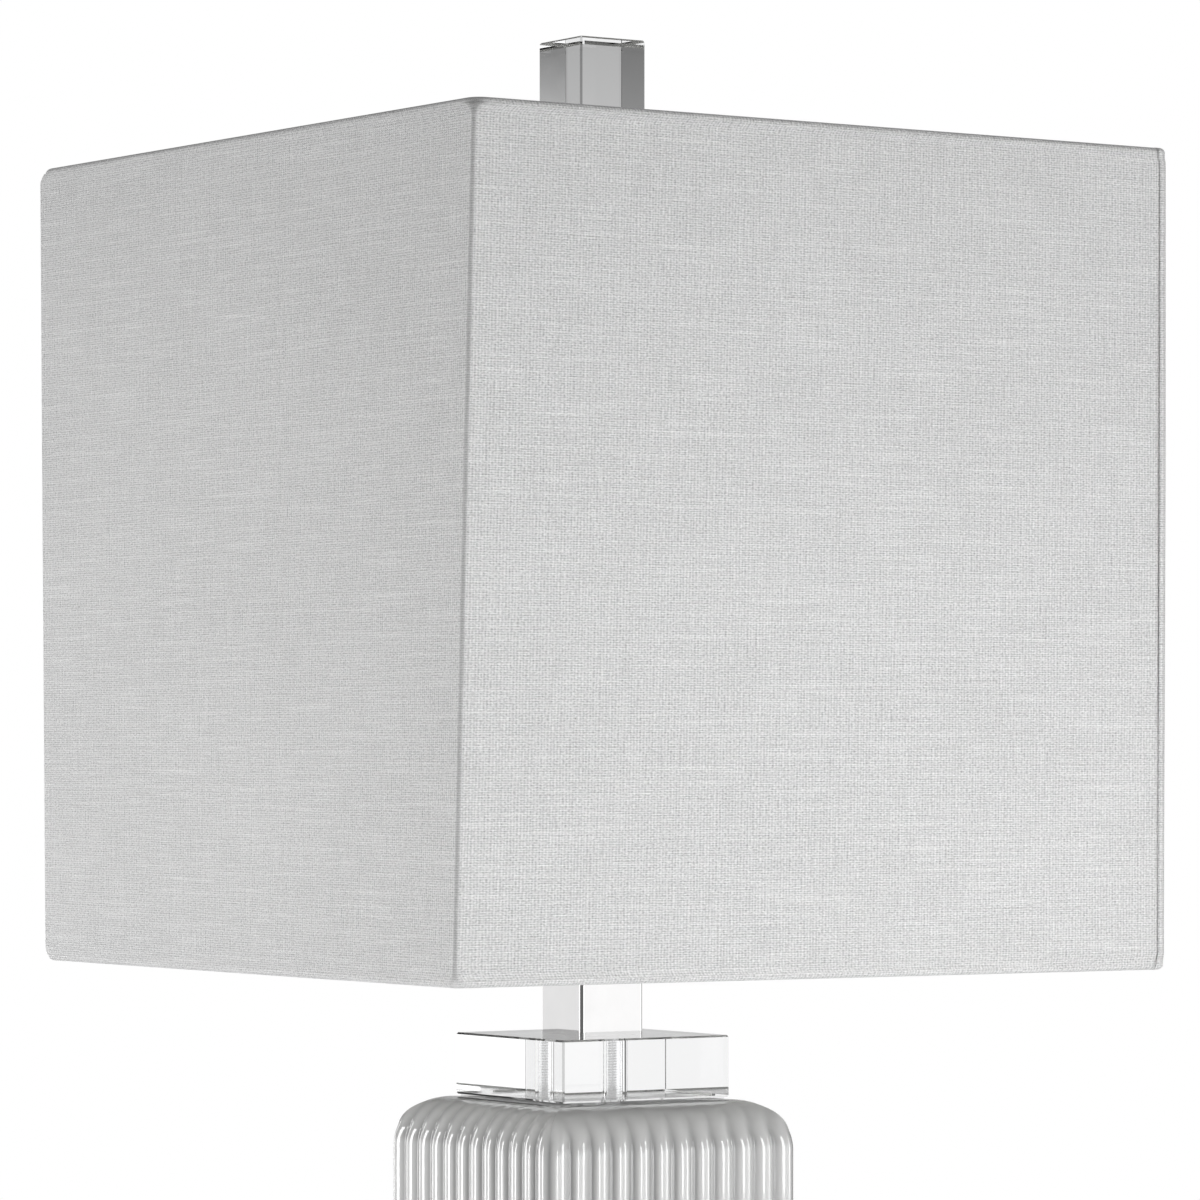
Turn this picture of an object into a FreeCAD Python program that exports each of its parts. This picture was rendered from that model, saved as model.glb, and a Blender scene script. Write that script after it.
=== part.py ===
"""Column table lamp: fluted ceramic column, crystal blocks, square linen shade.

Units are millimetres, +Z is up and the origin is on the table under the lamp's axis.
The front of the lamp faces -Y.  The hardest piece is the ceramic column: its ribs run
up all four faces, over the rounded shoulders and meet in a mitre at the corners.
"""
import FreeCAD
import Part
import math
import os
import re
import Sketcher
from FreeCAD import Placement, Rotation, Vector

doc = FreeCAD.newDocument("ColumnTableLamp")

# ---------------------------------------------------------------- driving sizes

SIZES = {
    # pads, crystal foot and the seals between glass and ceramic
    "pad_radius": 8,
    "pad_height": 3,
    "pad_inset": 20,
    "foot_margin": 14.4,
    "foot_height": 22,
    "recess_radius": 19,
    "recess_depth": 12,
    "crystal_bevel": 0.7,
    "seal_height": 0.8,
    "seal_inset": 1.5,
    # fluted ceramic column
    "column_width": 111.2,
    "column_height": 325,
    "column_wall": 9,
    "shoulder_radius": 18.4,
    "flute_count": 12,
    "flute_depth": 1.4,
    "cavity_corner": 12,
    "inlet_height": 38,
    "inlet_radius": 4,
    "bushing_flange": 7,
    "bushing_lip": 2,
    # threaded rod and the nuts that clamp the stack
    "rod_radius": 4.85,
    "rod_bore": 3.4,
    "rod_slack": 0.6,
    "rod_tail": 9,
    "rod_slot_width": 5.4,
    "rod_slot_height": 12,
    "washer_radius": 15,
    "washer_height": 1.6,
    "nut_flats": 14.3,
    "nut_height": 4,
    # crystal collar, metal neck and harp saddle
    "collar_height": 23.2,
    "neck_width": 28,
    "neck_height": 42,
    "neck_wall": 1.5,
    "neck_corner": 1.5,
    "neck_cap_height": 1.6,
    "saddle_width": 12.7,
    "saddle_strip": 1.6,
    "saddle_prong": 3.6,
    "saddle_shoulder": 9,
    "saddle_prong_top": 17,
    # harp
    "harp_height": 266.7,
    "harp_foot": 27,
    "harp_belly": 60,
    "harp_crown": 18,
    "harp_wire": 1.6,
    "harp_foot_low": 10,
    "harp_straight": 62,
    "harp_belly_low": 112,
    "harp_belly_high": 190,
    "harp_foot_bend": 40,
    "harp_low_bend": 70,
    "harp_high_bend": 80,
    "harp_crown_bend": 16,
    "seat_radius": 6,
    "seat_height": 8,
    "stud_radius": 3.175,
    "stud_length": 12,
    "sleeve_length": 20,
    "sleeve_bore_length": 12,
    "sleeve_wall": 0.9,
    # socket
    "cap_stem": 7,
    "cap_stem_height": 7,
    "cap_cone_height": 7,
    "cap_skirt_height": 9,
    "cap_wall": 0.8,
    "socket_radius": 16.6,
    "socket_wall": 0.5,
    "socket_height": 61,
    "insulator_wall": 0.6,
    "screw_shell_height": 24,
    "screw_shell_wall": 0.4,
    "screw_shell_mouth": 6.5,
    "core_height": 22,
    "core_flat": 10.5,
    "core_flat_low": 5.5,
    "core_flat_height": 10,
    "core_shaft_level": 13.2,
    "terminal_radius": 4.4,
    "terminal_height": 1.6,
    "contact_radius": 5.2,
    "contact_tip": 2.6,
    "contact_height": 1.4,
    "set_screw_radius": 1.5,
    "set_screw_head": 2.4,
    # switch
    "shaft_radius": 2,
    "shaft_length": 21,
    "shaft_hole": 4,
    "knob_radius": 7,
    "knob_length": 13,
    "knob_reach": 24,
    "knob_taper": 1.2,
    "knob_taper_length": 2.6,
    "knob_groove": 0.85,
    "knob_groove_count": 16,
    # bulb
    "bulb_base_radius": 13.1,
    "bulb_base_height": 18,
    "bulb_base_taper": 2.6,
    "bulb_base_taper_height": 1.8,
    "bulb_radius": 30,
    "bulb_neck": 12.2,
    "bulb_neck_height": 12.5,
    "bulb_neck_tail": 10,
    "bulb_belly": 50,
    "bulb_glass_wall": 0.8,
    "bulb_tip_radius": 4.6,
    "bulb_tip_height": 1.6,
    "bulb_cone_height": 5,
    "stem_radius": 6,
    "stem_tip_radius": 2.4,
    "stem_neck_height": 20,
    "stem_height": 30,
    "lead_radius": 0.4,
    "lead_spread": 9,
    "lead_height": 15,
    # shade
    "shade_width": 305,
    "shade_height": 303,
    "shade_corner": 6,
    "linen_thickness": 0.8,
    "liner_thickness": 0.6,
    "frame_wire": 1.5,
    "hem_depth": 9,
    "spider_drop": 12.6,
    "spider_wire": 1.6,
    "spider_bend": 19,
    "spider_washer": 12,
    # finial
    "finial_width": 29,
    "finial_height": 43.4,
    "finial_base_height": 9.6,
    "finial_base_radius": 9,
    "finial_waist_radius": 6,
    "finial_foot_radius": 8,
    "finial_foot_height": 1.4,
    "finial_waist_low": 3.4,
    "finial_waist_high": 6.2,
    "finial_flare_top": 8.2,
    # clearances
    "fit": 0.1,
    "gap": 0.3,
}

sheet = doc.addObject("Spreadsheet::Sheet", "Sizes")
for row, (size_name, size_value) in enumerate(SIZES.items(), start=1):
    sheet.set(f"A{row}", size_name)
    sheet.set(f"B{row}", str(size_value))
    sheet.setAlias(f"B{row}", size_name)
doc.recompute()

# ------------------------------------------------------------ levels and places
# Each is an expression of the driving sizes.

foot_low = "pad_height"
foot_width = "(column_width + 2 * foot_margin)"
column_low = f"({foot_low} + foot_height + seal_height)"
column_top = f"({column_low} + column_height)"
collar_low = f"({column_top} + seal_height)"
collar_top = f"({collar_low} + collar_height)"
collar_width = "(column_width - 2 * shoulder_radius)"
neck_cap_low = f"({collar_top} + neck_height)"
lock_nut_low = f"({neck_cap_low} + neck_cap_height)"
saddle_low = f"({lock_nut_low} + nut_height)"
socket_low = f"({saddle_low} + saddle_strip)"
recess_top = f"({foot_low} + recess_depth)"
rod_low = f"({recess_top} - rod_tail)"
rod_top = f"({socket_low} + cap_stem_height)"
cap_radius = "(socket_radius + fit + cap_wall)"
cap_rim = "(cap_stem_height + cap_cone_height + cap_skirt_height)"
cap_floor = "(cap_stem_height + 1.5 * cap_wall)"
core_radius = "(socket_radius - socket_wall - fit - insulator_wall - 2 * fit)"
core_low = f"({socket_low} + cap_stem_height + cap_cone_height + cap_wall / 2)"
core_top = f"({core_low} + core_height)"
shell_low = f"({core_low} + 2 * cap_wall)"
shell_top = f"({socket_low} + socket_height)"
switch_level = f"({core_low} + core_shaft_level)"
bulb_low = f"({core_top} + contact_height + gap)"
bulb_base_low = f"({bulb_low} + bulb_tip_height + bulb_cone_height)"
glass_low = f"({bulb_base_low} + bulb_base_height)"
harp_top = f"({socket_low} + harp_height)"
spider_low = f"({harp_top} + gap)"
spider_level = f"({spider_low} + spider_wire)"
shade_top = f"({spider_low} + spider_drop)"
shade_bottom = f"({shade_top} - shade_height)"
finial_low = f"({spider_low} + 2 * spider_wire + gap)"
crystal_low = f"({finial_low} + finial_base_height)"
frame_reach = "(shade_width / 2 - linen_thickness - liner_thickness - frame_wire)"
frame_corner = "(shade_corner - linen_thickness - liner_thickness - frame_wire)"

# --------------------------------------------------------------------- helpers


def value(expression):
    """The number that an expression of the driving sizes comes to."""
    return float(sheet.evalExpression(str(expression)))


def linked(expression):
    """The expression with every driving size read from the sheet."""
    def link(word):
        return f"Sizes.{word.group(0)}" if word.group(0) in SIZES else word.group(0)
    return re.sub(r"[a-z_]+", link, str(expression))


def bind(piece, path, expression):
    """Tie one property of a piece to an expression of the driving sizes."""
    piece.setExpression(path, linked(expression))


def seat(piece, x=0, y=0, z=0, turn=None):
    """Put a piece at its place, turned first where turn is given."""
    piece.Placement = Placement(Vector(value(x), value(y), value(z)), turn or Rotation())
    for name, expression in (("x", x), ("y", y), ("z", z)):
        bind(piece, f"Placement.Base.{name}", expression)
    return piece


def new_body(label):
    body = doc.addObject("PartDesign::Body", label)
    body.Label = label
    return body


def new_sketch(body, name, plane, height=None):
    """An empty sketch on one of the body's own origin planes."""
    sketch = body.newObject("Sketcher::SketchObject", f"{body.Name}_{name}")
    support = [item for item in body.Origin.OriginFeatures if item.Role == plane][0]
    sketch.AttachmentSupport = (support, [""])
    sketch.MapMode = "FlatFace"
    if height is not None:
        bind(sketch, "AttachmentOffset.Base.z", height)
    return sketch


def pin_point(sketch, edge, end, u, v):
    """Fix one end of an edge at (u, v), both measured from the sketch's origin."""
    for kind, axis, expression in (("DistanceX", -2, u), ("DistanceY", -1, v)):
        if expression == "0":
            sketch.addConstraint(Sketcher.Constraint("PointOnObject", edge, end, axis))
            continue
        rule = Sketcher.Constraint(kind, -1, 1, edge, end, value(expression))
        index = sketch.addConstraint(rule)
        bind(sketch, f"Constraints[{index}]", expression)


def arc_between(start, end, radius):
    """A minor arc of a signed radius: positive bulges to the right of start to end."""
    chord = end - start
    half = chord.Length / 2
    side = Vector(-chord.y, chord.x, 0).normalize()
    rise = math.sqrt(max(radius * radius - half * half, 0))
    centre = (start + end) * 0.5 + side * math.copysign(rise, radius)
    first, last = (start, end) if radius > 0 else (end, start)
    angles = [math.atan2(p.y - centre.y, p.x - centre.x) for p in (first, last)]
    circle = Part.Circle(centre, Vector(0, 0, 1), abs(radius))
    return Part.ArcOfCircle(circle, angles[0], angles[1])


def draw(sketch, points):
    """Close an outline through points (u, v) or (u, v, radius of the arc that follows)."""
    places = [Vector(value(p[0]), value(p[1]), 0) for p in points]
    edges = []
    for index, point in enumerate(points):
        start = places[index]
        end = places[(index + 1) % len(points)]
        if len(point) == 2:
            edge = sketch.addGeometry(Part.LineSegment(start, end))
            edges.append((edge, 1, 2))
            continue
        radius = value(point[2])
        edge = sketch.addGeometry(arc_between(start, end, radius))
        edges.append((edge, 1, 2) if radius > 0 else (edge, 2, 1))
        rule = sketch.addConstraint(Sketcher.Constraint("Radius", edge, abs(radius)))
        bind(sketch, f"Constraints[{rule}]", f"abs({point[2]})")
    for (edge, first, last), (follower, start_end, _) in zip(edges, edges[1:] + edges[:1]):
        sketch.addConstraint(Sketcher.Constraint("Coincident", edge, last, follower, start_end))
    for (edge, first, last), point in zip(edges, points):
        pin_point(sketch, edge, first, point[0], point[1])
    return sketch


def draw_circle(sketch, radius, u="0", v="0"):
    circle = Part.Circle(Vector(value(u), value(v), 0), Vector(0, 0, 1), value(radius))
    edge = sketch.addGeometry(circle)
    rule = sketch.addConstraint(Sketcher.Constraint("Radius", edge, value(radius)))
    bind(sketch, f"Constraints[{rule}]", radius)
    pin_point(sketch, edge, 3, u, v)
    return sketch


def square_points(width, corner=None):
    """A square outline about the origin, with round corners where corner is given."""
    half = f"({width}) / 2"
    if corner is None:
        return [(f"-{half}", f"-{half}"), (half, f"-{half}"), (half, half), (f"-{half}", half)]
    flat = f"(({width}) / 2 - ({corner}))"
    return [
        (f"-{flat}", f"-{half}"), (flat, f"-{half}", corner),
        (half, f"-{flat}"), (half, flat, corner),
        (flat, half), (f"-{flat}", half, corner),
        (f"-{half}", flat), (f"-{half}", f"-{flat}", corner),
    ]


def pad(body, sketch, length, middle=False):
    feature = body.newObject("PartDesign::Pad", f"{sketch.Name}_pad")
    feature.Profile = sketch
    bind(feature, "Length", length)
    if middle:
        feature.SideType = "Symmetric"
    return feature


def pocket(body, sketch, length, along=True, middle=False):
    """Cut the outline away: along the sketch's normal, against it, or both ways alike."""
    feature = body.newObject("PartDesign::Pocket", f"{sketch.Name}_pocket")
    feature.Profile = sketch
    feature.Reversed = along
    bind(feature, "Length", length)
    if middle:
        feature.SideType = "Symmetric"
    return feature


def turned(label, points):
    """A piece turned about Z from its half section: points are (radius, height)."""
    body = new_body(label)
    sketch = draw(new_sketch(body, "section", "XZ_Plane"), points)
    turning = body.newObject("PartDesign::Revolution", f"{label}_turning")
    turning.Profile = sketch
    turning.ReferenceAxis = (sketch, ["V_Axis"])
    turning.Angle = 360
    return body


def ring_points(inner, outer, height):
    return [(inner, "0"), (outer, "0"), (outer, height), (inner, height)]


def square_block(label, width, height, hole=None, corner=None):
    """A square prism standing on its origin, with a round hole up the middle."""
    body = new_body(label)
    sketch = draw(new_sketch(body, "outline", "XY_Plane"), square_points(width, corner))
    if hole is not None:
        draw_circle(sketch, hole)
    pad(body, sketch, height)
    return body


def bevel_edges(body, size):
    """Bevel every edge that the body has so far."""
    doc.recompute()
    base = body.Tip
    names = [f"Edge{number}" for number in range(1, len(base.Shape.Edges) + 1)]
    feature = body.newObject("PartDesign::Chamfer", f"{body.Name}_bevel")
    feature.Base = (base, names)
    bind(feature, "Size", size)
    return feature


def swept_ring(label, reach, corner, section=None, radius=None):
    """A section in the XZ plane carried once round a square path with round corners."""
    body = new_body(label)
    flat = f"(({reach}) - ({corner}))"
    path = new_sketch(body, "path", "XY_Plane")
    draw(path, [
        (reach, "0"), (reach, flat, corner), (flat, reach), (f"-{flat}", reach, corner),
        (f"-({reach})", flat), (f"-({reach})", f"-{flat}", corner),
        (f"-{flat}", f"-({reach})"), (flat, f"-({reach})", corner), (reach, f"-{flat}"),
    ])
    sketch = new_sketch(body, "section", "XZ_Plane")
    if section is None:
        draw_circle(sketch, radius, reach, "0")
    else:
        draw(sketch, section)
    pipe = body.newObject("PartDesign::AdditivePipe", f"{label}_pipe")
    pipe.Profile = sketch
    pipe.Spine = (path, [])
    return body


def rounded_path(corners):
    """A wire through corners (point, radius): straight runs joined by tangent arcs."""
    edges = []
    last = corners[0][0]
    for index in range(1, len(corners) - 1):
        point, radius = corners[index]
        before = (corners[index - 1][0] - point).normalize()
        after = (corners[index + 1][0] - point).normalize()
        half_angle = before.getAngle(after) / 2
        reach = radius / math.tan(half_angle)
        start = point + before * reach
        end = point + after * reach
        inward = (before + after).normalize()
        middle = point + inward * (radius / math.sin(half_angle) - radius)
        edges.append(Part.LineSegment(last, start).toShape())
        edges.append(Part.Arc(start, middle, end).toShape())
        last = end
    edges.append(Part.LineSegment(last, corners[-1][0]).toShape())
    return Part.Wire(edges)


def wire_along(path, radius):
    """Round wire of one radius along a path."""
    edge = path.Edges[0]
    start = edge.valueAt(edge.FirstParameter)
    heading = edge.tangentAt(edge.FirstParameter)
    section = Part.Wire(Part.makeCircle(radius, start, heading))
    return path.makePipeShell([section], True, False)


def placed_feature(label, shape, x=0, y=0, z=0):
    feature = doc.addObject("Part::Feature", label)
    feature.Label = label
    feature.Shape = shape
    return seat(feature, x, y, z)


pieces = []


def keep(piece):
    """Note a finished sub-part, in the order of assembly."""
    pieces.append(piece)
    return piece


# ------------------------------------------------------- pads and crystal foot


def make_foot_pads():
    """Four soft pads, one near each corner of the crystal foot."""
    body = new_body("foot_pads")
    sketch = new_sketch(body, "outline", "XY_Plane")
    place = f"({foot_width} / 2 - pad_inset)"
    for u in (place, f"-{place}"):
        for v in (place, f"-{place}"):
            draw_circle(sketch, "pad_radius", u, v)
    body.AllowCompound = True
    pad(body, sketch, "pad_height")
    return keep(seat(body))


def make_crystal_foot():
    """Clear square plinth: bevelled edges, a rod hole and a recess for the nut below."""
    body = square_block("crystal_foot", foot_width, "foot_height")
    bevel_edges(body, "crystal_bevel")
    hole = draw_circle(new_sketch(body, "hole", "XY_Plane"), "rod_radius + rod_slack")
    pocket(body, hole, "foot_height")
    recess = draw_circle(new_sketch(body, "recess", "XY_Plane"), "recess_radius")
    pocket(body, recess, "recess_depth")
    return keep(seat(body, z=foot_low))


def make_seal(label, level):
    """Thin clear seal that keeps glass from bearing hard on glaze."""
    width = f"({collar_width} - 2 * seal_inset)"
    body = square_block(label, width, "seal_height", hole="rod_radius + rod_slack")
    return keep(seat(body, z=level))


# --------------------------------------------------------------- ceramic column


def fluted_half(reach):
    """The front half of a fluted slab, reach wide each way from the axis.

    The front outline is a row of convex arcs between the corner grooves.  It is pushed
    up the wall, and swung a quarter turn about the shoulder's centre line at each end,
    so that every rib runs over the shoulder at its full depth.
    """
    half = value("column_width / 2")
    depth = value("flute_depth")
    count = int(value("flute_count"))
    shoulder = value("shoulder_radius")
    height = value("column_height")
    groove = half - depth
    pitch = 2 * groove / count
    back = -(half - shoulder)

    def outline(level):
        edges = []
        for number in range(count):
            start = -groove + number * pitch
            edges.append(Part.Arc(
                Vector(start, -groove, level),
                Vector(start + pitch / 2, -half, level),
                Vector(start + pitch, -groove, level),
            ).toShape())
        corners = [
            Vector(groove, -groove, level), Vector(reach, -groove, level),
            Vector(reach, back, level), Vector(-reach, back, level),
            Vector(-reach, -groove, level), Vector(-groove, -groove, level),
        ]
        for start, end in zip(corners, corners[1:]):
            edges.append(Part.LineSegment(start, end).toShape())
        return Part.Face(Part.Wire(Part.__sortEdges__(edges)))

    low = shoulder
    high = height - shoulder
    wall = outline(low).extrude(Vector(0, 0, high - low))
    upper = outline(high).revolve(Vector(0, back, high), Vector(1, 0, 0), -90)
    lower = outline(low).revolve(Vector(0, back, low), Vector(1, 0, 0), 90)
    core = Part.makeBox(2 * reach, -back, height, Vector(-reach, back, 0))
    return core.multiFuse([wall, upper, lower]).removeSplitter()


def fluted_column():
    """Two fluted slabs crossed at right angles: what they share is the ribbed column."""
    reach = value("column_width")
    front = fluted_half(reach)
    back = front.mirror(Vector(0, 0, 0), Vector(0, 1, 0))
    slab = front.fuse(back).removeSplitter()
    crossed = slab.copy()
    crossed.rotate(Vector(0, 0, 0), Vector(0, 0, 1), 90)
    return slab.common(crossed)


def make_ceramic_column():
    """Slip-cast column: hollow, with rod holes at both ends and a cord hole behind."""
    outside = doc.addObject("Part::Feature", "column_outside")
    outside.Shape = fluted_column()
    cavity = new_body("column_cavity")
    inside = "(column_width - 2 * column_wall)"
    sketch = new_sketch(cavity, "outline", "XY_Plane", "column_wall")
    draw(sketch, square_points(inside, "cavity_corner"))
    pad(cavity, sketch, "column_height - 2 * column_wall")
    bore = doc.addObject("Part::Cylinder", "column_rod_holes")
    bind(bore, "Radius", "rod_radius + rod_slack")
    bind(bore, "Height", "column_height")
    inlet = doc.addObject("Part::Cylinder", "column_cord_hole")
    bind(inlet, "Radius", "inlet_radius + bushing_lip / 2")
    bind(inlet, "Height", "column_width")
    seat(inlet, z="inlet_height", turn=Rotation(Vector(1, 0, 0), -90))
    voids = doc.addObject("Part::MultiFuse", "column_voids")
    voids.Shapes = [cavity, bore, inlet]
    column = doc.addObject("Part::Cut", "ceramic_column")
    column.Label = "ceramic_column"
    column.Base = outside
    column.Tool = voids
    return keep(seat(column, z=column_low))


def make_cord_bushing():
    """Flanged bushing in the cord hole at the back."""
    barrel = "(inlet_radius + bushing_lip / 2)"
    body = turned("cord_bushing", [
        ("inlet_radius", "0"), (barrel, "0"), (barrel, "column_wall + 2 * gap"),
        ("bushing_flange", "column_wall + 2 * gap"),
        ("bushing_flange", "column_wall + 2 * gap + bushing_lip"),
        ("inlet_radius", "column_wall + 2 * gap + bushing_lip"),
    ])
    turn = Rotation(Vector(1, 0, 0), -90)
    inner_wall = "(column_width / 2 - column_wall - gap)"
    return keep(seat(body, y=inner_wall, z=f"{column_low} + inlet_height", turn=turn))


# ----------------------------------------------------------------- rod and nuts


def make_lamp_rod():
    """Hollow threaded rod that clamps the whole stack, side-cut for the cord."""
    length = f"({rod_top} - {rod_low})"
    body = turned("lamp_rod", ring_points("rod_bore", "rod_radius", length))
    slot = new_sketch(body, "cord_slot", "XZ_Plane")
    low = f"({column_low} + inlet_height - {rod_low})"
    side = "(rod_slot_width / 2)"
    high = f"{low} + rod_slot_height"
    draw(slot, [(f"-{side}", low), (side, low), (side, high), (f"-{side}", high)])
    pocket(body, slot, "2 * rod_radius", along=False)
    return keep(seat(body, z=rod_low))


def make_washer():
    body = turned("bottom_washer", ring_points("rod_radius + fit", "washer_radius", "washer_height"))
    return keep(seat(body, z=f"{recess_top} - washer_height"))


def make_nut(label, level):
    """Hexagon nut that fits the rod."""
    block = doc.addObject("Part::Prism", f"{label}_hexagon")
    block.Polygon = 6
    bind(block, "Circumradius", "nut_flats / sqrt(3)")
    bind(block, "Height", "nut_height")
    hole = doc.addObject("Part::Cylinder", f"{label}_hole")
    bind(hole, "Radius", "rod_radius")
    bind(hole, "Height", "nut_height")
    nut = doc.addObject("Part::Cut", label)
    nut.Label = label
    nut.Base = block
    nut.Tool = hole
    return keep(seat(nut, z=level))


# ------------------------------------------------------ collar, neck and saddle


def make_crystal_collar():
    """Clear square block on top of the column."""
    body = square_block("crystal_collar", collar_width, "collar_height")
    bevel_edges(body, "crystal_bevel")
    hole = draw_circle(new_sketch(body, "hole", "XY_Plane"), "rod_radius + rod_slack")
    pocket(body, hole, "collar_height")
    return keep(seat(body, z=collar_low))


def make_neck():
    """Polished square tube and the plate that closes its top."""
    body = new_body("neck_tube")
    sketch = new_sketch(body, "outline", "XY_Plane")
    draw(sketch, square_points("neck_width", "neck_corner"))
    draw(sketch, square_points("(neck_width - 2 * neck_wall)"))
    pad(body, sketch, "neck_height")
    keep(seat(body, z=collar_top))
    cap = square_block("neck_cap", "neck_width", "neck_cap_height", "rod_radius + fit", "neck_corner")
    return keep(seat(cap, z=neck_cap_low))


def make_harp_saddle():
    """Flat strip with turned-up ends, narrowed to prongs that the harp's feet stand on."""
    body = new_body("harp_saddle")
    reach = "(harp_foot - harp_wire)"
    inside = f"({reach} - saddle_strip)"
    sketch = new_sketch(body, "strip", "XZ_Plane")
    draw(sketch, [
        (f"-{inside}", "0"), (inside, "0", "saddle_strip"),
        (reach, "saddle_strip"), (reach, "saddle_prong_top"),
        (inside, "saddle_prong_top"), (inside, "saddle_strip"),
        (f"-{inside}", "saddle_strip"), (f"-{inside}", "saddle_prong_top"),
        (f"-{reach}", "saddle_prong_top"), (f"-{reach}", "saddle_strip", "saddle_strip"),
    ])
    pad(body, sketch, "saddle_width", middle=True)
    for side, name in ((-1, "front"), (1, "back")):
        trim = new_sketch(body, f"{name}_trim", "YZ_Plane")
        near = f"({side} * saddle_prong / 2)"
        far = f"({side} * saddle_width)"
        draw(trim, [
            (near, "saddle_shoulder"), (far, "saddle_shoulder"),
            (far, "2 * saddle_prong_top"), (near, "2 * saddle_prong_top"),
        ])
        pocket(body, trim, "4 * harp_foot", middle=True)
    hole = draw_circle(new_sketch(body, "hole", "XY_Plane"), "rod_radius + fit")
    pocket(body, hole, "saddle_strip")
    return keep(seat(body, z=saddle_low))


# ------------------------------------------------------------------------ harp


def make_harp():
    """Bent wire harp, its crown boss with the finial stud, and the two foot sleeves."""
    def at(x, z):
        return Vector(value(x), 0, value(z))

    crown = "(harp_height - seat_height / 2)"
    right = [
        (at("harp_foot", "harp_foot_low"), 0),
        (at("harp_foot", "harp_straight"), value("harp_foot_bend")),
        (at("harp_belly", "harp_belly_low"), value("harp_low_bend")),
        (at("harp_belly", "harp_belly_high"), value("harp_high_bend")),
        (at("harp_crown", crown), value("harp_crown_bend")),
    ]
    left = [(Vector(-point.x, 0, point.z), radius) for point, radius in reversed(right)]
    shape = wire_along(rounded_path(right + left), value("harp_wire"))
    keep(placed_feature("harp_wire", shape, z=socket_low))

    boss = turned("harp_seat", [
        ("0", "0"), ("seat_radius", "0"), ("seat_radius", "seat_height"),
        ("stud_radius", "seat_height"), ("stud_radius", "seat_height + stud_length"),
        ("0", "seat_height + stud_length"),
    ])
    bore = draw_circle(new_sketch(boss, "wire_hole", "YZ_Plane"), "harp_wire", "0", "seat_height / 2")
    pocket(boss, bore, "4 * seat_radius", middle=True)
    keep(seat(boss, z=f"{harp_top} - seat_height"))

    wide = "(saddle_strip + harp_wire + 3 * gap)"
    for label, side in (("harp_sleeve_left", -1), ("harp_sleeve_right", 1)):
        sleeve = turned(label, [
            (wide, "0"), (f"{wide} + sleeve_wall", "0"),
            (f"{wide} + sleeve_wall", "sleeve_bore_length"),
            ("harp_wire + fit + sleeve_wall", "sleeve_length"),
            ("harp_wire + fit", "sleeve_length"),
            ("harp_wire + fit", "sleeve_bore_length"), (wide, "sleeve_bore_length"),
        ])
        keep(seat(sleeve, x=f"{side} * harp_foot", z=f"{saddle_low} + saddle_shoulder + gap"))


# ---------------------------------------------------------------------- socket


def make_socket_cap():
    """Bell-shaped lower half of the socket, screwed on the rod, with its set screw."""
    cap = turned("socket_cap", [
        ("rod_radius", "0"), ("cap_stem", "0"), ("cap_stem", "cap_stem_height"),
        (cap_radius, "cap_stem_height + cap_cone_height"), (cap_radius, cap_rim),
        (f"{cap_radius} - cap_wall", cap_rim),
        (f"{cap_radius} - cap_wall", f"{cap_floor} + cap_cone_height"),
        ("cap_stem", cap_floor), ("rod_radius", cap_floor),
    ])
    level = "(cap_stem_height / 2)"
    hole = draw_circle(new_sketch(cap, "screw_hole", "XZ_Plane"), "set_screw_radius", "0", level)
    pocket(cap, hole, "2 * cap_stem", along=False)
    keep(seat(cap, z=socket_low))

    shank = "(cap_stem - rod_radius + gap)"
    screw = turned("socket_set_screw", [
        ("0", "0"), ("set_screw_radius", "0"), ("set_screw_radius", shank), ("set_screw_head", shank),
        ("set_screw_head", f"{shank} + set_screw_radius"), ("0", f"{shank} + set_screw_radius"),
    ])
    turn = Rotation(Vector(1, 0, 0), -90)
    return keep(seat(screw, y="rod_radius", z=f"{socket_low} + {level}", turn=turn))


def make_socket_tube(label, outer, wall, low, high, rim=None):
    """A thin tube of the socket with the hole that the switch shaft passes through."""
    height = f"({high} - {low})"
    inner = f"(({outer}) - {wall})"
    section = ring_points(inner, outer, height)
    if rim is not None:
        turned_in = f"(({outer}) - {rim})"
        under_rim = f"{height} - {wall}"
        section[3:] = [(turned_in, height), (turned_in, under_rim), (inner, under_rim)]
    body = turned(label, section)
    hole = new_sketch(body, "shaft_hole", "XZ_Plane")
    draw_circle(hole, "shaft_hole", "0", f"({switch_level} - {low})")
    pocket(body, hole, "2 * socket_radius")
    return keep(seat(body, z=low))


def make_socket_core():
    """Moulded switch block with flats for the two terminals."""
    body = new_body("socket_core")
    outline = draw_circle(new_sketch(body, "outline", "XY_Plane"), core_radius)
    pad(body, outline, "core_height")
    for side, name in ((1, "right"), (-1, "left")):
        flat = new_sketch(body, f"{name}_flat", "XY_Plane", "core_flat_low")
        draw(flat, [
            (f"{side} * core_flat", "-core_flat"), (f"{side} * 2 * core_flat", "-core_flat"),
            (f"{side} * 2 * core_flat", "core_flat"), (f"{side} * core_flat", "core_flat"),
        ])
        pocket(body, flat, "core_flat_height")
    bore = new_sketch(body, "shaft_bore", "XZ_Plane")
    draw_circle(bore, "shaft_radius + fit", "0", f"({switch_level} - {core_low})")
    pocket(body, bore, "2 * socket_radius")
    keep(seat(body, z=core_low))

    level = f"{core_low} + core_flat_low + core_flat_height / 2"
    for label, side in (("hot_terminal_screw", -1), ("neutral_terminal_screw", 1)):
        screw = turned(label, ring_points("0", "terminal_radius", "terminal_height"))
        turn = Rotation(Vector(0, 1, 0), 90 * side)
        keep(seat(screw, x=f"{side} * core_flat", z=level, turn=turn))


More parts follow.
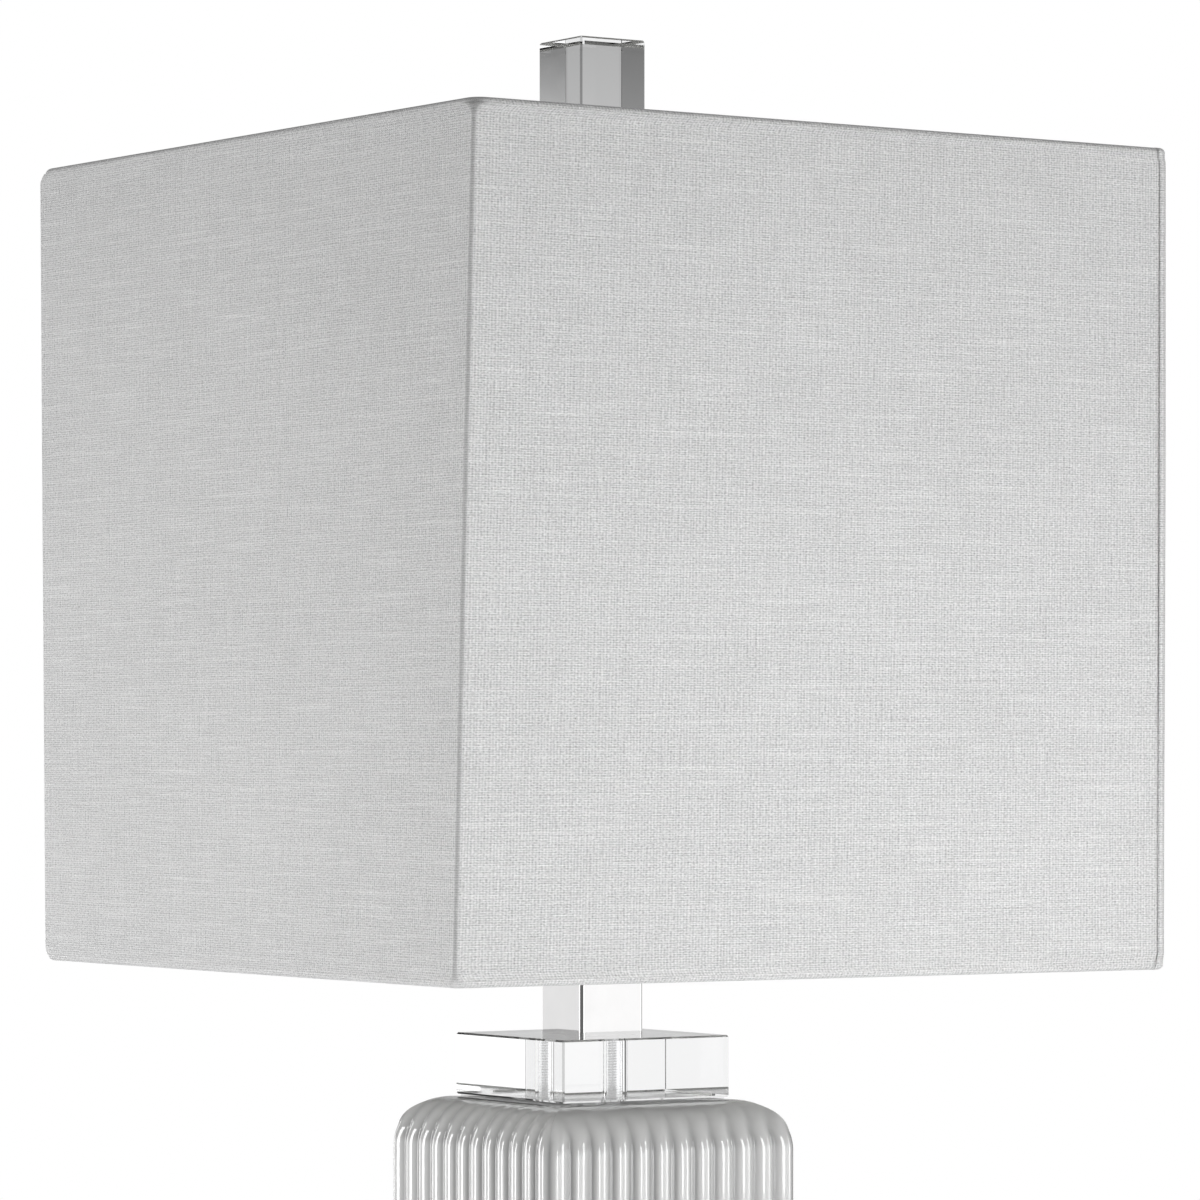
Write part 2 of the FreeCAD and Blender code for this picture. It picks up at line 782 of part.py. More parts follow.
def make_screw_shell():
    """Threaded shell that takes the bulb, and the sprung tongue at its centre."""
    inner = "(bulb_base_radius + fit)"
    outer = f"({inner} + screw_shell_wall)"
    body = turned("socket_screw_shell", [
        ("screw_shell_mouth", "0"), (outer, "0"), (outer, "screw_shell_height"),
        (inner, "screw_shell_height"), (inner, "screw_shell_wall"),
        ("screw_shell_mouth", "screw_shell_wall"),
    ])
    keep(seat(body, z=core_top))
    tongue = turned("centre_contact", [
        ("0", "0"), ("contact_radius", "0"), ("contact_radius", "contact_height / 2"),
        ("contact_tip", "contact_height"), ("0", "contact_height"),
    ])
    keep(seat(tongue, z=core_top))


def make_switch():
    """Turn shaft and ribbed knob, pointing to the front."""
    turn = Rotation(Vector(1, 0, 0), 90)
    shaft = turned("switch_shaft", ring_points("0", "shaft_radius", "shaft_length"))
    inner_end = "-(knob_reach + knob_length / 2 - shaft_length)"
    keep(seat(shaft, y=inner_end, z=switch_level, turn=turn))

    knob = turned("switch_knob", [
        ("shaft_radius", "0"), ("knob_radius - knob_taper", "0"), ("knob_radius", "knob_taper_length"),
        ("knob_radius", "knob_length - knob_taper_length"), ("knob_radius - knob_taper", "knob_length"),
        ("0", "knob_length"), ("0", "knob_length / 2"), ("shaft_radius", "knob_length / 2"),
    ])
    outline = draw_circle(new_sketch(knob, "groove", "XY_Plane"), "knob_groove", "knob_radius", "0")
    groove = pocket(knob, outline, "knob_length")
    ring = knob.newObject("PartDesign::PolarPattern", "switch_knob_grooves")
    ring.Originals = [groove]
    ring.Axis = (outline, ["N_Axis"])
    ring.Angle = 360
    bind(ring, "Occurrences", "knob_groove_count")
    knob.Tip = ring
    keep(seat(knob, y="-knob_reach", z=switch_level, turn=turn))


# ------------------------------------------------------------------------ bulb


def make_bulb():
    """Screw-base bulb: contact, glass button, screw shell, envelope, stem and filament."""
    keep(seat(turned("bulb_contact", ring_points("0", "bulb_tip_radius", "bulb_tip_height")), z=bulb_low))
    bottom = "(bulb_base_radius - bulb_base_taper)"
    keep(seat(turned("bulb_base_glass", [
        ("0", "0"), ("bulb_tip_radius", "0"), (bottom, "bulb_cone_height"), ("0", "bulb_cone_height"),
    ]), z=f"{bulb_low} + bulb_tip_height"))
    inner = "(bulb_base_radius - screw_shell_wall)"
    keep(seat(turned("bulb_screw_base", [
        ("0", "0"), (bottom, "0"), ("bulb_base_radius", "bulb_base_taper_height"),
        ("bulb_base_radius", "bulb_base_height"), (inner, "bulb_base_height"),
        (inner, "bulb_base_taper_height"), ("0", "bulb_base_taper_height"),
    ]), z=bulb_base_low))
    keep(seat(turned("bulb_glass", envelope_points()), z=glass_low))
    stem_low = "(bulb_base_taper_height - bulb_base_height)"
    keep(seat(turned("bulb_stem", [
        ("0", stem_low), ("stem_radius", stem_low), ("stem_radius", "0"),
        ("stem_tip_radius", "stem_neck_height"), ("stem_tip_radius", "stem_height"), ("0", "stem_height"),
    ]), z=glass_low))
    make_filament()


def envelope_points():
    """Half section of the pear-shaped glass: neck, two tangent arcs and a round head."""
    wall = "bulb_glass_wall"
    flare = "(bulb_radius - bulb_neck)"
    middle = "((bulb_neck + bulb_radius) / 2)"
    bend = "((bulb_neck_height + bulb_belly) / 2)"
    arc = f"(((bulb_belly - bulb_neck_height)^2 + {flare}^2) / (4 * {flare}))"
    inside = "(bulb_radius - bulb_glass_wall)"
    return [
        ("bulb_neck", "-bulb_neck_tail"), ("bulb_neck", "bulb_neck_height", f"-{arc}"),
        (middle, bend, arc), ("bulb_radius", "bulb_belly", "bulb_radius"),
        ("0", "bulb_belly + bulb_radius"), ("0", f"bulb_belly + {inside}", f"-{inside}"),
        (inside, "bulb_belly", f"-({arc} - {wall})"), (f"{middle} - {wall}", bend, arc),
        (f"bulb_neck - {wall}", "bulb_neck_height"), (f"bulb_neck - {wall}", "-bulb_neck_tail"),
    ]


def make_filament():
    """Two lead wires that spread from the stem, with the filament across their ends."""
    body = new_body("bulb_filament")
    plan = new_sketch(body, "leads", "XZ_Plane")
    outer = "(lead_spread + lead_radius)"
    top = "lead_height + 2 * lead_radius"
    draw(plan, [
        ("-lead_radius", "0"), ("lead_radius", "0"), (outer, "lead_height"),
        (outer, top), (f"-{outer}", top), (f"-{outer}", "lead_height"),
    ])
    window = new_sketch(body, "window", "XZ_Plane")
    inner = "(lead_spread - lead_radius)"
    draw(window, [("0", "4 * lead_radius"), (inner, "lead_height"), (f"-{inner}", "lead_height")])
    pad(body, plan, "2 * lead_radius", middle=True)
    pocket(body, window, "4 * lead_radius", middle=True)
    keep(seat(body, z=f"{glass_low} + stem_height"))


# ----------------------------------------------------------------------- shade


def make_linen_cover():
    """Linen wall with both edges folded over the wires and glued down inside."""
    out = "(shade_width / 2)"
    lined = f"({out} - linen_thickness)"
    glued = f"({lined} - liner_thickness)"
    hem = f"({glued} - linen_thickness)"
    wired = f"({glued} - 2 * frame_wire)"
    lip = f"({wired} - linen_thickness)"
    fold = "(linen_thickness + 2 * frame_wire)"
    deep = f"({fold} + linen_thickness)"
    height = "shade_height"
    section = [
        (lip, "0"), (out, "0"), (out, height), (lip, height),
        (lip, f"{height} - {deep}"), (hem, f"{height} - {deep}"),
        (hem, f"{height} - {deep} - hem_depth"), (glued, f"{height} - {deep} - hem_depth"),
        (glued, f"{height} - {fold}"), (wired, f"{height} - {fold}"),
        (wired, f"{height} - linen_thickness"), (lined, f"{height} - linen_thickness"),
        (lined, "linen_thickness"), (wired, "linen_thickness"), (wired, fold), (glued, fold),
        (glued, f"{deep} + hem_depth"), (hem, f"{deep} + hem_depth"), (hem, deep), (lip, deep),
    ]
    cover = swept_ring("linen_tube", "shade_width / 2", "shade_corner", section)
    notches = []
    for name, turn in (("x", Rotation(Vector(0, 1, 0), 90)), ("y", Rotation(Vector(1, 0, 0), -90))):
        notch = doc.addObject("Part::Cylinder", f"arm_notches_{name}")
        bind(notch, "Radius", "spider_wire + gap")
        bind(notch, "Height", f"2 * {frame_reach}")
        start = f"-{frame_reach}"
        level = "shade_height - linen_thickness - frame_wire"
        seat(notch, x=start if name == "x" else 0, y=start if name == "y" else 0, z=level, turn=turn)
        notches.append(notch)
    tool = doc.addObject("Part::MultiFuse", "arm_notches")
    tool.Shapes = notches
    linen = doc.addObject("Part::Cut", "linen_cover")
    linen.Label = "linen_cover"
    linen.Base = cover
    linen.Tool = tool
    return keep(seat(linen, z=shade_bottom))


def make_shade_liner():
    """Stiff plastic sheet behind the linen."""
    outer = "(shade_width / 2 - linen_thickness)"
    inner = f"({outer} - liner_thickness)"
    top = "shade_height - linen_thickness"
    section = [(inner, "linen_thickness"), (outer, "linen_thickness"), (outer, top), (inner, top)]
    liner = swept_ring("shade_liner", outer, "shade_corner - linen_thickness", section)
    return keep(seat(liner, z=shade_bottom))


def make_frame(label, level):
    ring = swept_ring(label, frame_reach, frame_corner, radius="frame_wire")
    return keep(seat(ring, z=level))


def make_spider():
    """Hub washer with four arms that rise to the top frame."""
    washer = turned("spider_washer", ring_points("stud_radius + fit", "spider_washer", "2 * spider_wire"))
    keep(seat(washer, z=spider_low))

    hub = value("spider_washer")
    bend = value("spider_bend")
    rim = value(frame_reach) - value("frame_wire")
    rise = value(shade_top) - value("linen_thickness + frame_wire") - value(spider_level)
    corners = [
        (Vector(hub, 0, 0), 0),
        (Vector(2 * hub, 0, 0), bend),
        (Vector(rim - hub, 0, rise), bend),
        (Vector(rim, 0, rise), 0),
    ]
    arm = wire_along(rounded_path(corners), value("spider_wire"))
    arms = []
    for quarter in range(4):
        copy = arm.copy()
        copy.rotate(Vector(0, 0, 0), Vector(0, 0, 1), 90 * quarter)
        arms.append(copy)
    keep(placed_feature("spider_arms", Part.makeCompound(arms), z=spider_level))


# ---------------------------------------------------------------------- finial


def make_finial():
    """Clear square crystal on a turned metal base that screws onto the harp's stud."""
    bore = "(stud_length - 2 * spider_wire)"
    base = turned("finial_base", [
        ("stud_radius + fit", "0"), ("finial_foot_radius", "0"),
        ("finial_foot_radius", "finial_foot_height"), ("finial_waist_radius", "finial_waist_low"),
        ("finial_waist_radius", "finial_waist_high"), ("finial_base_radius", "finial_flare_top"),
        ("finial_base_radius", "finial_base_height"), ("0", "finial_base_height"),
        ("0", bore), ("stud_radius + fit", bore),
    ])
    keep(seat(base, z=finial_low))
    block = square_block("finial_crystal", "finial_width", "finial_height")
    bevel_edges(block, "crystal_bevel")
    keep(seat(block, z=crystal_low))


# -------------------------------------------------------------------- assembly


def make_lamp():
    make_foot_pads()
    make_crystal_foot()
    make_seal("foot_seal", f"{foot_low} + foot_height")
    make_washer()
    make_nut("bottom_nut", f"{recess_top} - washer_height - nut_height")
    make_ceramic_column()
    make_cord_bushing()
    make_seal("collar_seal", column_top)
    make_crystal_collar()
    make_neck()
    make_lamp_rod()
    make_nut("lock_nut", lock_nut_low)
    make_harp_saddle()
    make_harp()
    make_socket_cap()
    tube_radius = "(socket_radius - socket_wall - fit)"
    make_socket_tube("socket_shell", "socket_radius", "socket_wall", shell_low, shell_top, "2 * socket_wall")
    make_socket_tube("socket_insulator", tube_radius, "insulator_wall",
                     shell_low, f"({shell_top} - socket_wall - fit)")
    make_socket_core()
    make_screw_shell()
    make_switch()
    make_bulb()
    make_linen_cover()
    make_shade_liner()
    make_frame("bottom_frame", f"{shade_bottom} + linen_thickness + frame_wire")
    make_frame("top_frame", f"{shade_top} - linen_thickness - frame_wire")
    make_spider()
    make_finial()


make_lamp()
doc.recompute()

for item in doc.Objects:
    if "Invalid" in item.State or "Error" in item.State:
        raise RuntimeError(f"{item.Label} did not recompute: {item.State}")
for piece in pieces:
    if piece.Shape.isNull() or not piece.Shape.isValid():
        raise RuntimeError(f"{piece.Label} has no valid shape")
    if piece.Shape.Volume <= 0 or not piece.Shape.Solids:
        raise RuntimeError(f"{piece.Label} is not solid")

os.makedirs("parts", exist_ok=True)
for piece in pieces:
    piece.Shape.exportStep(f"parts/{piece.Label}.step")
    box = piece.Shape.BoundBox
    print(f"{piece.Label}: {len(piece.Shape.Solids)} solid(s), {piece.Shape.Volume:.1f} mm3,"
          f" z {box.ZMin:.2f} to {box.ZMax:.2f}")
print(len(pieces), "sub-parts")
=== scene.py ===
# %% [markdown]
# # A column table lamp with a square linen shade
#
# This lesson dresses a finished CAD model. The model gives every size and every joint, so nothing here is
# measured twice: each new surface starts from the box of the CAD piece that it stands for. Four things get
# new surfaces, because their real forms are softer than a CAD solid: the ribbed glazed column, the linen of
# the shade, the sheet and wires behind it, and the soft feet. All else keeps its CAD shape and gets a finish.

# %% The frame that everything hangs on
import math

import bpy
import numpy as np
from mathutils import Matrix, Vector


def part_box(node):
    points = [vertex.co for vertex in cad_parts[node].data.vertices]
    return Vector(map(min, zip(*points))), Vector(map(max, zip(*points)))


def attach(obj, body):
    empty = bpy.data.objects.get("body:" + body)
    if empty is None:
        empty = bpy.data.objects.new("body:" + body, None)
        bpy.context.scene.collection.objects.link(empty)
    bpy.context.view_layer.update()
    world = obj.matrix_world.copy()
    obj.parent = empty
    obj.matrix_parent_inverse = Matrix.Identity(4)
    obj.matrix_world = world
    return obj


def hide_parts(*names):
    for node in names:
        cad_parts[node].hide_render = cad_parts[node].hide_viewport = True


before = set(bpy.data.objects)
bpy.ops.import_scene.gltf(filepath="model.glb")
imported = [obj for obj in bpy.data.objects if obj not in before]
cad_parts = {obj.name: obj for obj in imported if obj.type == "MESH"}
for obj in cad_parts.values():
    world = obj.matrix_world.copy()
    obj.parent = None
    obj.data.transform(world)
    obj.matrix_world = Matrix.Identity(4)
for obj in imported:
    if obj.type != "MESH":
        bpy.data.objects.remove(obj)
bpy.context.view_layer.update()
MM = 0.001

# %% [markdown]
# ## The camera
#
# The photo was taken from a little below the middle of the shade with a long lens, and the camera was level:
# the lamp's upright edges stay parallel. A level camera that shows more above its axis than below needs a
# shifted lens, and not a tilt. The camera looks along a line 33.45 degrees off the shade's front face.

# %% Camera
LENS_MM = 171.7
SENSOR_MM = 36.0
HORIZON_BELOW_CENTRE = 142.7 / 1200
VIEW_TURN = math.radians(-33.45)
DISTANCE = 2.151
SIDESTEP = 0.003
EYE_ABOVE_COLUMN = 0.1333

ahead = np.array([-math.sin(VIEW_TURN), math.cos(VIEW_TURN), 0.0])
aside = np.array([math.cos(VIEW_TURN), math.sin(VIEW_TURN), 0.0])
column_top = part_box("ceramic_column")[1].z
eye = -DISTANCE * ahead + SIDESTEP * aside
eye[2] = column_top + EYE_ABOVE_COLUMN

camera_data = bpy.data.cameras.new("camera")
camera_data.sensor_width = SENSOR_MM
camera_data.lens = LENS_MM
camera_data.shift_y = HORIZON_BELOW_CENTRE
camera = bpy.data.objects.new("camera", camera_data)
camera.location = eye
camera.rotation_euler = (math.pi / 2, 0, VIEW_TURN)
bpy.context.scene.collection.objects.link(camera)
bpy.context.scene.camera = camera
bpy.context.scene.view_settings.view_transform = "Standard"
print("eye at", eye.round(4))

# %% [markdown]
# ## Helpers for finishes
#
# Every finish is a small tree of nodes. The same few steps come back in each: a place on the piece, some
# noise there, a ramp that turns noise into colour, and a bump that turns it into relief. They are written
# once here, so that each finish below reads like a recipe. The place is always the Object coordinate, or the
# cloth's own map, so a pattern stays on its piece from wherever it is seen.
#
# One helper is about light. The renderer sends no lamp's light through glass, so what stands in or under
# crystal would look black. It gets a faint glow that only mirrored and bent rays see.

# %% Finish helpers
def new_finish(name, roughness, metallic=0.0):
    """An empty node material: the material, its node tree and its Principled shader."""
    made = bpy.data.materials.new(name)
    made.use_nodes = True
    shader = made.node_tree.nodes["Principled BSDF"]
    shader.inputs["Roughness"].default_value = roughness
    shader.inputs["Metallic"].default_value = metallic
    return made, made.node_tree, shader


def place(tree, stretch, cloth_map=False):
    """A place on the piece in metres, stretched by three factors."""
    coordinates = tree.nodes.new("ShaderNodeTexCoord")
    mapping = tree.nodes.new("ShaderNodeMapping")
    mapping.inputs["Scale"].default_value = stretch
    tree.links.new(coordinates.outputs["UV" if cloth_map else "Object"], mapping.inputs["Vector"])
    return mapping.outputs["Vector"]


def noise(tree, spot, detail=4.0, roughness=0.5):
    """Cloudy noise from 0 to 1 with one cloud to a unit of the stretched place."""
    node = tree.nodes.new("ShaderNodeTexNoise")
    node.inputs["Scale"].default_value = 1.0
    node.inputs["Detail"].default_value = detail
    node.inputs["Roughness"].default_value = roughness
    tree.links.new(spot, node.inputs["Vector"])
    return node.outputs[0]


def ramp(tree, factor, stops):
    """Colour by factor: stops are (position, grey or colour)."""
    node = tree.nodes.new("ShaderNodeValToRGB")
    while len(node.color_ramp.elements) < len(stops):
        node.color_ramp.elements.new(0.5)
    for element, (position, colour) in zip(node.color_ramp.elements, stops):
        rgb = (colour,) * 3 if isinstance(colour, float) else colour
        element.position = position
        element.color = (*rgb, 1.0)
    tree.links.new(factor, node.inputs["Fac"])
    return node.outputs["Color"]


def reckon(tree, operation, first, second=None, third=None):
    """One step of arithmetic on sockets or plain numbers."""
    node = tree.nodes.new("ShaderNodeMath")
    node.operation = operation
    for socket, term in zip(node.inputs, (first, second, third)):
        if term is None:
            continue
        if isinstance(term, (int, float)):
            socket.default_value = term
        else:
            tree.links.new(term, socket)
    return node.outputs["Value"]


def relief(tree, shader, height, depth, strength=1.0):
    """Bump from a height of 0 to 1 that is depth metres deep."""
    node = tree.nodes.new("ShaderNodeBump")
    node.inputs["Distance"].default_value = depth
    node.inputs["Strength"].default_value = strength
    tree.links.new(height, node.inputs["Height"])
    tree.links.new(node.outputs["Normal"], shader.inputs["Normal"])


def between(tree, factor, low, high):
    """A number that runs from low to high as factor runs from 0 to 1."""
    node = tree.nodes.new("ShaderNodeMapRange")
    node.inputs["To Min"].default_value = low
    node.inputs["To Max"].default_value = high
    tree.links.new(factor, node.inputs["Value"])
    return node.outputs["Result"]


def bent_ray(tree):
    """1 for rays that a mirror or glass sent on without a matt surface in between, else 0."""
    path = tree.nodes.new("ShaderNodeLightPath")
    sent = reckon(tree, "MAXIMUM", path.outputs["Is Glossy Ray"], path.outputs["Is Transmission Ray"])
    return reckon(tree, "MULTIPLY", sent, reckon(tree, "LESS_THAN", path.outputs["Diffuse Depth"], 0.5))


def lift_behind_glass(finish, level):
    """A faint glow that bent rays alone see, for what stands in or under crystal."""
    tree = finish.node_tree
    shader = tree.nodes["Principled BSDF"]
    shader.inputs["Emission Color"].default_value = (1, 1, 1, 1)
    tree.links.new(reckon(tree, "MULTIPLY", bent_ray(tree), level), shader.inputs["Emission Strength"])


def paint(finish, *names):
    """Give CAD pieces a finish."""
    for name in names:
        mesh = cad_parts[name].data
        mesh.materials.clear()
        mesh.materials.append(finish)


print("helpers ready")

# %% [markdown]
# ## White glaze
#
# The column is slip-cast earthenware under a thick white glaze. Glaze has two looks at once: the body's
# milky white below, and a hard clear gloss on top. It runs thin on the crests of the ribs and pools in the
# grooves. The ramp paints the grooves greyer than the crests: a little of that is the pooling, and most is
# painted shade, where the grooves lie in shadow. Pointiness would find the grooves only for one renderer, so
# the column's own mesh carries an attribute, groove, that says how deep each point lies, and the ramp reads that.

# %% White glaze
GLAZE_GREYS_WITH_GROOVE_SHADE = [(0.06, (0.70, 0.70, 0.697)), (0.5, (0.56, 0.56, 0.558)), (1.0, (0.33, 0.33, 0.33))]


def make_white_glaze():
    finish, tree, shader = new_finish("white_glaze", 0.07)
    groove = tree.nodes.new("ShaderNodeAttribute")
    groove.attribute_name = "groove"
    cloud = noise(tree, place(tree, (60, 60, 25)), 3.0)
    # painted shade: the deeper a point lies in a groove, the greyer the ramp makes it, with a little glaze pooling
    # there too
    depth = reckon(tree, "MULTIPLY_ADD", cloud, 0.12, groove.outputs["Fac"])
    body = ramp(tree, depth, GLAZE_GREYS_WITH_GROOVE_SHADE)
    tree.links.new(body, shader.inputs["Base Color"])
    shader.inputs["Coat Weight"].default_value = 1.0
    shader.inputs["Coat Roughness"].default_value = 0.03
    shader.inputs["Coat IOR"].default_value = 1.75
    shader.inputs["IOR"].default_value = 1.75
    ripple = noise(tree, place(tree, (170, 170, 110)), 2.0)
    relief(tree, shader, ripple, 0.00012, 0.35)
    return finish


white_glaze = make_white_glaze()
print("finish", white_glaze.name)

# %% [markdown]
# ## Crystal
#
# Foot, collar and finial are optical glass. All their life comes from what they bend and mirror, so the
# shader is plain: full transmission, an index of 1.52 and hardly any roughness. Two faint things keep it from
# looking like a computer's glass: polishing marks, and an uneven grey cast.

# %% Crystal
def make_crystal():
    finish, tree, shader = new_finish("crystal", 0.0)
    shader.inputs["Transmission Weight"].default_value = 1.0
    shader.inputs["IOR"].default_value = 1.52
    wisps = noise(tree, place(tree, (35, 35, 35)), 3.0)
    tree.links.new(ramp(tree, wisps, [(0.3, (0.955, 0.96, 0.965)), (0.7, (0.985, 0.985, 0.985))]),
                   shader.inputs["Base Color"])
    smears = noise(tree, place(tree, (120, 120, 700)), 4.0)
    tree.links.new(between(tree, smears, 0.0, 0.018), shader.inputs["Roughness"])
    relief(tree, shader, noise(tree, place(tree, (45, 45, 45)), 1.0), 0.0002, 0.06)
    return finish


crystal = make_crystal()
paint(crystal, "crystal_foot", "crystal_collar", "finial_crystal")
print("finish", crystal.name)

# %% [markdown]
# ## Metals
#
# The neck is polished and nickel plated: a mirror with the faint waviness of a buffed tube. The harp and its
# fittings are duller nickel, drawn through a die, so their marks run along the wire. Rod and nuts are zinc
# plated, with a bluish, cloudy skin. Brass, aluminium and solder are inside the socket, and the bulb's coil is
# tungsten. One function serves them all: a colour, a gloss, and brush marks in one direction.

# %% Metal finishes
def make_metal(name, colour, gloss, marks, mark_depth, cloudy=0.06):
    """A bare or plated metal with brush marks that are short across and long along."""
    finish, tree, shader = new_finish(name, gloss, 1.0)
    cloud = noise(tree, place(tree, (90, 90, 90)), 5.0)
    dark = tuple(c * (1 - cloudy) for c in colour)
    light = tuple(min(1.0, c * (1 + cloudy)) for c in colour)
    tree.links.new(ramp(tree, cloud, [(0.3, dark), (0.7, light)]), shader.inputs["Base Color"])
    scratches = noise(tree, place(tree, marks), 3.0)
    tree.links.new(between(tree, scratches, gloss * 0.6, gloss * 1.4), shader.inputs["Roughness"])
    relief(tree, shader, scratches, mark_depth, 0.4)
    return finish


UPRIGHT = (1800, 1800, 60)
ROUND = (300, 300, 2600)
polished_nickel = make_metal("polished_nickel", (0.80, 0.795, 0.795), 0.035, UPRIGHT, 0.000004, 0.02)
nickel_steel = make_metal("nickel_steel", (0.66, 0.645, 0.625), 0.22, UPRIGHT, 0.00003)
zinc_steel = make_metal("zinc_steel", (0.70, 0.71, 0.72), 0.20, ROUND, 0.00004, 0.10)
brass = make_metal("brass", (0.78, 0.58, 0.27), 0.25, ROUND, 0.00003)
solder = make_metal("solder", (0.66, 0.66, 0.66), 0.42, (500, 500, 500), 0.00008)
tungsten = make_metal("tungsten", (0.30, 0.30, 0.31), 0.45, UPRIGHT, 0.00001)
paint(polished_nickel, "neck_tube", "neck_cap", "socket_cap", "socket_shell", "finial_base")
paint(nickel_steel, "harp_saddle", "harp_wire", "harp_seat", "harp_sleeve_left", "harp_sleeve_right",
      "neutral_terminal_screw")
paint(zinc_steel, "bottom_washer", "bottom_nut", "lock_nut", "socket_set_screw")
paint(brass, "hot_terminal_screw", "centre_contact", "switch_shaft")
paint(solder, "bulb_contact")
paint(tungsten, "bulb_filament")
print("metals", [m.name for m in (polished_nickel, nickel_steel, zinc_steel, brass, solder, tungsten)])

# %% [markdown]
# ## Screw threads
#
# Rod, bulb and socket have threads too fine to be worth a mesh. A thread is a wave along the axis that climbs
# by one pitch a turn, so its height is the sine of (z / pitch - angle / full turn). The angle about the axis
# comes from the arctangent of y and x, and all of these pieces stand on the lamp's axis.

# %% Threaded finishes
def add_thread(finish, pitch, depth):
    """Put a screw thread of one pitch, in metres, on a finish of a piece on the lamp's axis."""
    tree = finish.node_tree
    coordinates = tree.nodes.new("ShaderNodeTexCoord")
    split = tree.nodes.new("ShaderNodeSeparateXYZ")
    tree.links.new(coordinates.outputs["Object"], split.inputs["Vector"])
    angle = reckon(tree, "ARCTAN2", split.outputs["Y"], split.outputs["X"])
    climb = reckon(tree, "MULTIPLY", split.outputs["Z"], 2 * math.pi / pitch)
    wave = reckon(tree, "SINE", reckon(tree, "SUBTRACT", climb, angle))
    relief(tree, tree.nodes["Principled BSDF"], reckon(tree, "MULTIPLY_ADD", wave, 0.5, 0.5), depth)
    return finish


ROD_PITCH = 1.0 * MM
CAP_PITCH = 3.6 * MM
threaded_zinc = add_thread(make_metal("threaded_zinc", (0.93, 0.935, 0.94), 0.25, ROUND, 0.00002),
                           ROD_PITCH, 0.00002)
lift_behind_glass(threaded_zinc, 0.30)
threaded_aluminium = add_thread(make_metal("threaded_aluminium", (0.83, 0.83, 0.84), 0.22, ROUND, 0.00003),
                                CAP_PITCH, 0.0016)
paint(threaded_zinc, "lamp_rod")
paint(threaded_aluminium, "bulb_screw_base", "socket_screw_shell")
print("threads of", round(ROD_PITCH / MM, 2), "and", round(CAP_PITCH / MM, 2), "mm pitch")

# %% [markdown]
# ## Plastics, card, rubber and lamp glass
#
# Moulded plastic is never one flat colour: it has a faint orange-peel skin and slight clouding. The same
# recipe, with other numbers, gives the black phenolic of the switch, the white styrene behind the linen, the
# bushing, the paint on the shade's wires, the fibre card in the socket and the soft clear pads. The two
# clear cushions between crystal and glaze are squeezed so thin that hardly anything of them shows, so their
# finish is nearly transparent.

# %% Moulded and coated finishes
def make_moulded(name, colour, gloss, skin, skin_depth, cloudy=0.05):
    """A plastic, paint or card: slight clouding, an uneven gloss and a skin with fine relief."""
    finish, tree, shader = new_finish(name, gloss)
    cloud = noise(tree, place(tree, (70, 70, 70)), 4.0)
    dark = tuple(c * (1 - cloudy) for c in colour)
    tree.links.new(ramp(tree, cloud, [(0.3, dark), (0.7, colour)]), shader.inputs["Base Color"])
    peel = noise(tree, place(tree, (skin, skin, skin)), 3.0)
    tree.links.new(between(tree, peel, gloss * 0.8, min(1.0, gloss * 1.2)), shader.inputs["Roughness"])
    relief(tree, shader, peel, skin_depth, 0.5)
    return finish, shader


black_phenolic, _ = make_moulded("black_phenolic", (0.022, 0.021, 0.020), 0.26, 900, 0.00003, 0.3)
white_plastic, _ = make_moulded("white_plastic", (0.80, 0.80, 0.78), 0.38, 900, 0.00003)
white_wire, _ = make_moulded("white_wire", (0.82, 0.82, 0.80), 0.33, 1400, 0.00006)
white_styrene, _ = make_moulded("white_styrene", (0.86, 0.86, 0.84), 0.42, 300, 0.00004)
socket_card, _ = make_moulded("socket_card", (0.42, 0.29, 0.15), 0.85, 2400, 0.00010, 0.25)
black_glass, _ = make_moulded("black_glass", (0.02, 0.02, 0.03), 0.08, 300, 0.00003, 0.2)
clear_rubber, rubber_shader = make_moulded("clear_rubber", (0.84, 0.84, 0.82), 0.32, 700, 0.00005)
rubber_shader.inputs["Transmission Weight"].default_value = 0.25
rubber_shader.inputs["IOR"].default_value = 1.42
lift_behind_glass(clear_rubber, 0.40)
clear_seal, seal_shader = make_moulded("clear_seal", (0.85, 0.85, 0.85), 0.25, 700, 0.00004)
seal_shader.inputs["Alpha"].default_value = 0.10
frosted_glass, bulb_shader = make_moulded("frosted_glass", (0.90, 0.89, 0.87), 0.30, 500, 0.00002, 0.02)
bulb_shader.inputs["Transmission Weight"].default_value = 0.35
bulb_shader.inputs["Coat Weight"].default_value = 0.8
bulb_shader.inputs["Coat Roughness"].default_value = 0.05
stem_glass, stem_shader = make_moulded("stem_glass", (0.92, 0.94, 0.94), 0.03, 300, 0.00002, 0.02)
stem_shader.inputs["Transmission Weight"].default_value = 1.0
stem_shader.inputs["IOR"].default_value = 1.5
paint(black_phenolic, "socket_core", "switch_knob")
paint(white_plastic, "cord_bushing")
paint(white_wire, "spider_washer", "spider_arms")
paint(socket_card, "socket_insulator")
paint(black_glass, "bulb_base_glass")
paint(clear_seal, "foot_seal", "collar_seal")
paint(frosted_glass, "bulb_glass")
paint(stem_glass, "bulb_stem")
print("moulded finishes ready")

# %% [markdown]
# ## Linen
#
# The cover is a slubbed plain weave of linen and cotton. Its pattern has to follow the cloth round the corners,
# so it reads the cloth's own map, which is in metres along the cloth and down the wall. Each set of threads is a
# sine wave across them, 1.18 mm from thread to thread for the upright ones and 0.82 mm for the level ones. A
# slow noise shifts each wave a little, so no two threads are quite evenly spaced, and a second one makes the
# weave plainer here and fainter there. Five things lie on top: threads that are paler or greyer along their
# whole length, a fine grain of fibres, slubs, which are the brighter half of a long noise, a slow drift, and
# rare dark flecks of husk. All of them add up to one tone, and a ramp turns that into grey. The product of
# the two waves is the over-and-under of the threads, and lifts the surface.

